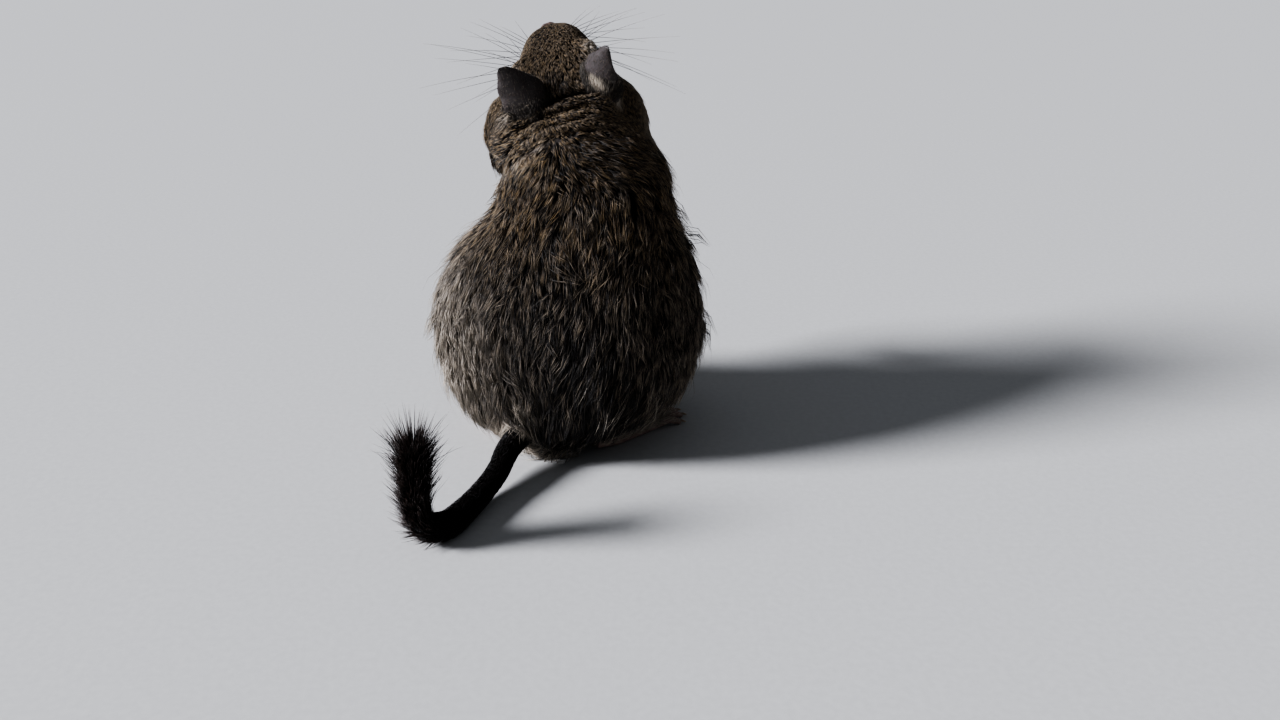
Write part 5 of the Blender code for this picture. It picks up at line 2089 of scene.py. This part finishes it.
@dataclass
class Extremity:
    """The bare hand and hind foot of one side, finer than the hide: palm, sole, jointed digits and pads.

    Attributes:
        side: Left or right.
        finger: Radius of a finger.
        toe: Radius of a toe.
        palm: Radius of the palm's upper end.
        sole: Places along the foot with its half width and its height there.
    """

    side: str
    finger: float = 0.82
    toe: float = 1.12
    palm: float = 2.55
    sole: tuple = ((-3.0, 2.7, 5.0), (4.0, 4.5, 5.6), (12.0, 4.9, 5.2), (20.0, 5.2, 4.0), (25.5, 4.7, 2.5))

    def digit(self, root: Array, knuckle: Array, tip: Array, radius: float) -> Shape:
        """One finger or toe, with two joints and a soft pad under its end.

        Args:
            root: Where it starts.
            knuckle: Its middle.
            tip: Its end.
            radius: Its radius.

        Returns:
            Corners, triangles and shares of the length.
        """
        t = np.linspace(0, 1, 15)
        joints = 1 + 0.10 * np.exp(-(((t - 0.38) / 0.09) ** 2)) + 0.13 * np.exp(-(((t - 0.86) / 0.10) ** 2))
        radii = radius * joints * np.sqrt(np.clip(1.03 - np.maximum((t - 0.86) / 0.15, 0) ** 2, 0.03, 1))
        return tube(route([root, knuckle, tip], 15), radii * (1.06 - 0.14 * t), 14)

    def ball(self, centre: Array, radius: float) -> Shape:
        """A soft pad."""
        t = np.linspace(-0.98, 0.98, 9)
        return tube(centre + np.outer(t * radius, UP), radius * np.sqrt(1 - t**2), 12)

    def hand(self) -> tuple[list, Array]:
        """Shapes of the hand that hangs from the wrist.

        Returns:
            Its shapes, and the way from the wrist to the finger tips.
        """
        sign = SIDES[self.side]
        wrist, palm, ahead, down, across = hand_axes(sign)
        path = route([wrist - ahead * 3.0, wrist + ahead * 1.2, wrist + ahead * 3.0 + down * 2.4, palm], 14)
        radii = np.linspace(self.palm, self.palm * 0.78, 14)
        shapes = [tube(path + across * shift, radii, 18) for shift in (-0.8, 0.8)]
        for start, end, length in FINGERS:
            root = palm - down * 1.6 + across * start
            knuckle = root + down * (length * 0.55 + 0.8) + ahead * 0.7 + across * (end - start) * 0.6
            tip = root + down * (length + 1.3) - ahead * 0.2 + across * (end - start)
            shapes.append(self.digit(root, knuckle, tip, self.finger))
            shapes.append(self.ball(tip - ahead * 0.35 - down * 0.5, 0.62))
        for shift in (-1.5, 0.0, 1.5):
            shapes.append(self.ball(palm - ahead * 1.7 + across * shift - down * 0.6, 1.05))
        thumb = palm - down * 3.2 - ahead * 0.9 - across * 2.4 * sign
        end = thumb + down * 1.3 - across * 0.5 * sign
        shapes.append(self.digit(thumb + across * sign, thumb, end, 0.7))
        return shapes, down

    def foot(self) -> tuple[list, Array]:
        """Shapes of the hind foot on the floor.

        Returns:
            Its shapes, and the way from its heel to its toes.
        """
        sign = SIDES[self.side]
        at = np.linspace(self.sole[0][0], self.sole[-1][0], 26)
        width, height = through(self.sole, at).T
        shapes = []
        for shift in (-0.5, 0.0, 0.5):
            middle = np.column_stack([shift * width, at, height / 2])
            shapes.append(tube(on_foot(middle, sign), np.minimum(height / 2, width * 0.62), 18))
        for inner, outer, start, end in TOES:
            root = (inner * 0.9, start - 2.5, 1.5)
            knuckle = ((inner + outer) / 2, (start + end) / 2, 2.4)
            tip = (outer, end, 1.25)
            points = on_foot([root, knuckle, tip], sign)
            shapes.append(self.digit(*points, self.toe))
            shapes.append(self.ball(points[2] - UP * 0.2, 0.95))
        heel, toes = on_foot([(0, 0, 0), (0, 30, 0)], sign)
        return shapes, unit(toes - heel)

    def build(self, finish: Material, hair: Material, density: float) -> None:
        """Melts each to one skin, and grows the sparse short hair on the upper side of it.

        Args:
            finish: The bare skin's material.
            hair: The coat's material.
            density: Share of the hairs to grow.
        """
        for kind, region, (shapes, ahead), voxel in (
            ("hand", Region.PAW, self.hand(), 0.19),
            ("foot", Region.FOOT, self.foot(), 0.27),
        ):
            points, triangles, _ = merged(shapes)
            points[:, 2] = np.maximum(points[:, 2], FLOOR_GAP)
            mesh, points, triangles, edges = melted(f"{kind}_{self.side}", points, triangles, voxel, 5)
            points[:, 2] = np.maximum(points[:, 2], FLOOR_GAP)
            mesh.vertices.foreach_set("co", (points * MM).astype(np.float32).ravel())
            mesh.shade_smooth()
            count = len(points)
            normals = unit(spread(corner_normals(points, triangles), edges, 2))
            far = (points - points.mean(0)) @ ahead
            far = (far - far.min()) / (far.max() - far.min())
            back = normals[:, 2] if kind == "foot" else normals[:, 1:].max(1)
            haired = smooth_rise(back, -0.25, 0.3) * (1 - 0.75 * smooth_rise(far, 0.62, 0.95))
            marks = np.column_stack([np.full(count, 0.95), np.full(count, 0.1), np.full(count, 0.0)])
            set_values(mesh, "marks", marks)
            set_values(mesh, "bare", np.full(count, 1.0))
            Unwrap().map_faces(mesh, np.zeros(count))
            piece_of(f"{kind}_{self.side}", mesh, finish)
            flow = unit(ahead - normals * (normals @ ahead)[:, None])
            reach = (3.0 if kind == "foot" else 1.7) * (1 - 0.55 * far)
            depth = (0.5 if kind == "foot" else 0.4) * (1 - 0.4 * far)
            lay = np.column_stack([reach, depth, np.full(count, 0.11), 13.5 * haired])
            surface = Surface(points, triangles, normals)
            surface.fields = {
                "flow": flow,
                "lay": lay,
                "marks": marks,
                "regions": np.tile(np.eye(len(REGIONS))[region.number], (count, 1)),
                "sleek": np.full((count, 1), 0.8),
            }
            nap = Coat(seed=41, clump=3, gather=0.2, stray=12, sink=0.1, density=density).grow(surface)
            piece_of(f"{kind}_hair_{self.side}", nap.mesh(f"{kind}_hair_{self.side}"), hair)


@dataclass
class Whiskers:
    """The long stiff whiskers of one side, fanned out from the muzzle in two rows, and two over the eye.

    Attributes:
        side: Left or right.
        fan: How far the first and the last whisker rise over the level, in degrees.
        length: Length of the first, steep ones and of the long ones under them.
        count: Whiskers in a row.
        swept: How far they lean back towards the animal's shoulders.
        radius: Radius of a whisker at its root. A real one is half as wide, too fine to show.
    """

    side: str
    fan: tuple = (50.0, -36.0)
    length: tuple = (14.0, 36.0)
    count: int = 10
    swept: float = 0.22
    radius: float = 0.10

    def build(self, finish: Material, surface: Surface) -> None:
        """Roots the whiskers in the skin and bends each a little under its weight.

        Args:
            finish: The whiskers' material.
            surface: The skin that they grow from.
        """
        chance = np.random.default_rng(7 + SIDES[self.side])
        sign = SIDES[self.side]
        starts, ways, lengths = [], [], []
        for row in range(2):
            for number in range(self.count):
                share = number / (self.count - 1)
                rise = math.radians(self.fan[0] + (self.fan[1] - self.fan[0]) * share + chance.normal(0, 4))
                reach = float(smooth_rise(np.array(share), 0.0, 0.4))
                out, ahead = 5.4 + 1.5 * row + share, 28.0 - 4.0 * row - 3.0 * share
                starts.append((sign * out, ahead, -0.6 - 5.0 * share))
                ways.append((sign * math.cos(rise), -self.swept * (1 + row), math.sin(rise) + 0.1))
                length = self.length[0] + (self.length[1] - self.length[0]) * reach
                lengths.append(length * chance.uniform(0.8, 1.08) * (0.72 if row == 0 else 1.0))
        for number in range(2):
            starts.append((sign * (9.8 + number), 13.5 - 2.5 * number, 11.0))
            ways.append((sign * (0.8 + 0.1 * number), -0.4, 0.5 - 0.2 * number))
            lengths.append(15.0 + 4 * number)
        starts, _ = surface.follow(HEAD.to_model(np.array(starts)))
        shapes = []
        for start, way, length in zip(starts, unit(np.array(ways)), lengths):
            t = np.linspace(0, 1, 14)
            sag = np.array([0.0, -0.4, -1.0]) * length * chance.uniform(0.02, 0.09)
            points = start - way * 0.8 + np.outer(t * length, way) + np.outer(t**2, sag)
            shapes.append(tube(points, self.radius * (1 - 0.82 * t), 6))
        points, triangles, share = merged(shapes)
        mesh = mesh_of(f"whiskers_{self.side}", points, triangles)
        set_values(mesh, "share", share)
        piece_of(f"whiskers_{self.side}", mesh, finish)


@dataclass
class TailBrush:
    """The long black hair of the tail's end, which lies along the bend and fans out past the tip.

    Attributes:
        hairs: Number of hairs.
        locks: Number of locks that they draw together to.
        seed: Where its random numbers start.
        start: Share of the tail where the long hair begins.
        length: Length of a hair there and at the tip, in millimetres.
        lean: How far a hair leans off the tail there and at the tip, in degrees.
        wisps: Share of the hairs that are up to twice as long and stand off.
    """

    hairs: int = 7500
    locks: int = 240
    seed: int = 23
    start: float = 0.68
    length: tuple = (5.8, 9.0)
    lean: tuple = (12.0, 20.0)
    wisps: float = 0.2

    def stalks(self, share: Array, turn: Array, reach: Array, lean: Array) -> tuple:
        """Lays hairs along the tail's bend.

        Args:
            share: Where along the tail each starts, from 0 to 1.
            turn: Where round the tail, in radians.
            reach: Its length.
            lean: How far it leans off the tail, in radians.

        Returns:
            Their paths, and each one's way out of the skin.
        """
        path = route(TAIL_ROUTE, 241)
        ahead = unit(np.gradient(path, axis=0))
        radii = through(TAIL_RADII, np.linspace(0, 1, 241))[:, 0] * 0.78
        at = np.clip((share * 240).astype(int), 0, 240)
        side = unit(np.cross(ahead[at], np.array([0.3, 1.0, 0.1])))
        rise = np.cross(side, ahead[at])
        out = side * np.cos(turn)[:, None] + rise * np.sin(turn)[:, None]
        root = path[at] + out * radii[at][:, None] * 0.85
        later = np.clip(at + (reach * 1.6).astype(int), 0, 240)
        bent = unit(ahead[at] + 0.8 * ahead[later])
        first = ahead[at] * np.cos(lean)[:, None] + out * np.sin(lean)[:, None]
        last = unit(bent * np.cos(lean * 1.25)[:, None] + out * np.sin(lean * 1.25)[:, None])
        steps = [root - out * 0.4]
        for t in (0.34, 0.68, 1.0):
            steps.append(root + reach[:, None] * (first * (t - t * t / 2) + last * t * t / 2))
        return np.stack(steps, 1), out

    def draw(self, count: int, chance: np.random.Generator) -> tuple:
        """Draws places and angles by chance, longer and fanned wider towards the tip.

        Args:
            count: How many hairs.
            chance: Where the random numbers come from.

        Returns:
            What stalks() takes for each.
        """
        share = self.start + (0.995 - self.start) * chance.random(count) ** 0.8
        far = (share - self.start) / (0.995 - self.start)
        wisp = (chance.random(count) < self.wisps * (0.4 + far)) * chance.uniform(0.4, 1.0, count)
        shortest, longest = self.length
        reach = (shortest + (longest - shortest) * far**1.3) * chance.uniform(0.5, 1.1, count)
        reach *= 1 + 1.15 * wisp * (0.5 + 0.5 * far)
        lean = self.lean[0] + (self.lean[1] - self.lean[0]) * far + chance.normal(0, 7, count) + 20 * wisp
        lean = np.radians(lean)
        return share, chance.uniform(0, 2 * math.pi, count), reach, lean

    def grow(self) -> Tufts:
        """Grows the brush from the tail's last third.

        Returns:
            The hairs.
        """
        chance = np.random.default_rng(self.seed)
        leads, _ = self.stalks(*self.draw(self.locks, chance))
        paths, out = self.stalks(*self.draw(self.hairs, chance))
        home = nearest_in(search_tree(leads[:, 0]), paths[:, 0])
        own = chance.uniform(0.2, 1.0, self.hairs)
        pull = np.array([0.0, 0.14, 0.36, 0.62])[None, :, None] * own[:, None, None]
        paths = paths * (1 - pull) + leads[home] * pull
        tail = Region.TAIL.number
        return Tufts(
            paths,
            out,
            chance.uniform(0.10, 0.22, self.hairs),
            chance.random(self.hairs),
            np.tile([0.0, 0.0, 1.0], (self.hairs, 1)),
            Unwrap().at(paths[:, 0], out, np.zeros(self.hairs, bool)),
            np.full(self.hairs, tail),
        )


# Studio.


@dataclass
class Studio:
    """Camera at the photograph's angle, soft light from the left and a pale floor.

    Attributes:
        camera_at: Where the camera is, in metres.
        pitch_down: How far it looks down, in degrees.
        lens: Its focal length.
        light_from: The way to the light, seen from the animal.
        light_angle: How wide the light looks from there, in degrees, which softens its shadows.
        light_strength: How strong it is.
        fill: How strong the light from all round is.
        look: How the picture's contrast is set.
        floor_half: Half the floor's width, in metres.
    """

    camera_at: tuple = (0.023, -0.340, 0.174)
    pitch_down: float = 24.0
    lens: float = 30.94
    light_from: tuple = (-0.90, -0.17, 0.43)
    light_angle: float = 16.0
    light_strength: float = 8.0
    fill: float = 0.2
    look: str = "AgX - High Contrast"
    floor_half: float = 12.0

    def build(self, finish: Material) -> None:
        """Sets the camera, the lights and the floor.

        Args:
            finish: The floor's material.
        """
        scene = bpy.context.scene
        eye = bpy.data.cameras.new("camera")
        eye.lens, eye.sensor_width = self.lens, 36.0
        eye.clip_start, eye.clip_end = 0.01, 50.0
        camera = bpy.data.objects.new("camera", eye)
        camera.location = self.camera_at
        camera.rotation_euler = (math.radians(90 - self.pitch_down), 0, 0)
        scene.collection.objects.link(camera)
        scene.camera = camera
        data = bpy.data.lights.new("soft_light", "SUN")
        data.energy = self.light_strength
        data.angle = math.radians(self.light_angle)
        data.color = linear("f4f6ff")[:3]
        lamp = bpy.data.objects.new("soft_light", data)
        lamp.rotation_euler = Vector(self.light_from).to_track_quat("Z", "Y").to_euler()
        scene.collection.objects.link(lamp)
        world = bpy.data.worlds.new("studio")
        world.use_nodes = True
        sky = world.node_tree.nodes["Background"]
        sky.inputs["Color"].default_value = linear("e8eefa")
        sky.inputs["Strength"].default_value = self.fill
        scene.world = world
        scene.view_settings.look = self.look
        corners = np.array([(-1, -1, 0), (1, -1, 0), (1, 1, 0), (-1, 1, 0)]) * self.floor_half / MM
        mesh = mesh_of("floor", corners, np.array([[0, 1, 2, 3]]))
        mesh.materials.append(finish)
        floor = bpy.data.objects.new("floor", mesh)
        scene.collection.objects.link(floor)


def main() -> None:
    """Builds every piece, in order, and reports each."""
    logging.basicConfig(level=logging.INFO, format="%(message)s", stream=sys.stdout)
    hair = AgoutiHair("agouti_hair").material()
    brush = BrushHair("tail_brush_hair").material()
    tail_hair = BrushHair("tail_coat_hair", tip="241c18").material()
    ear_skin = EarSkin("ear_skin").material()
    sparse = 1.0

    mesh, surface = Hide().build()
    Unwrap().map_faces(mesh, surface.fields["regions"][:, Region.HEAD.number])
    skin = HideSkin("skin_under_coat").material()
    hide = piece_of("hide", mesh, skin)
    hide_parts(*[name for region in REGIONS for name in region.value[0]], "tail_tuft")
    LOG.info("hide: %d corners", len(mesh.vertices))

    coat = Coat(density=sparse).grow(surface)
    CoatPieces().build(coat, {"body": (hair, "coat"), "tail": (tail_hair, "tail_coat")})
    LooseHair(sparse).build(surface, hair)

    for side, root, tip_way, open_way in (
        ("left", (-8.4, -6.4, 12.6), (-0.22, -0.02, 0.97), (-0.30, 0.95, 0.0)),
        ("right", (9.2, -3.2, 12.3), (0.12, -0.28, 0.95), (0.72, 0.69, 0.0)),
    ):
        if side == "left":
            # The left ear's base fur gets no cream and stays dark: painted shade, as that ear is turned from
            # the light. The right ear has the cream.
            ear = Pinna(side, root, tip_way, open_way, base_fur=1.6, base_pale=0.0)
        else:
            ear = Pinna(side, root, tip_way, open_way, base_pale=1.0, pale_at=0.3, taper=0.34)
        ear_surface = ear.build(ear_skin)
        nap = Coat(seed=31, clump=4, gather=0.35, stray=12, sink=0.12, density=sparse).grow(ear_surface)
        piece_of(f"nap_{side}", nap.mesh(f"nap_{side}"), hair)
        lids = MoistLeather("lid_rim", colour="2c2321", dark="171211")
        Eye(side).build(WetEye("wet_eye").material(), lids.material())
        Claws(side).build(ClawHorn("claw_horn").material())
        Extremity(side).build(skin, hair, sparse)
        Whiskers(side).build(WhiskerKeratin("whisker").material(), surface)
        LOG.info("%s side: ear with %d hairs, eye, claws, whiskers", side, len(nap.widths))
    NosePad().build(MoistLeather("nose_leather").material())
    piece_of("tail_brush", TailBrush().grow().mesh("tail_brush"), brush)
    LOG.info("nose and tail brush")
    Studio().build(FloorPaint("floor_paint").material())


if __name__ == "__main__":
    main()
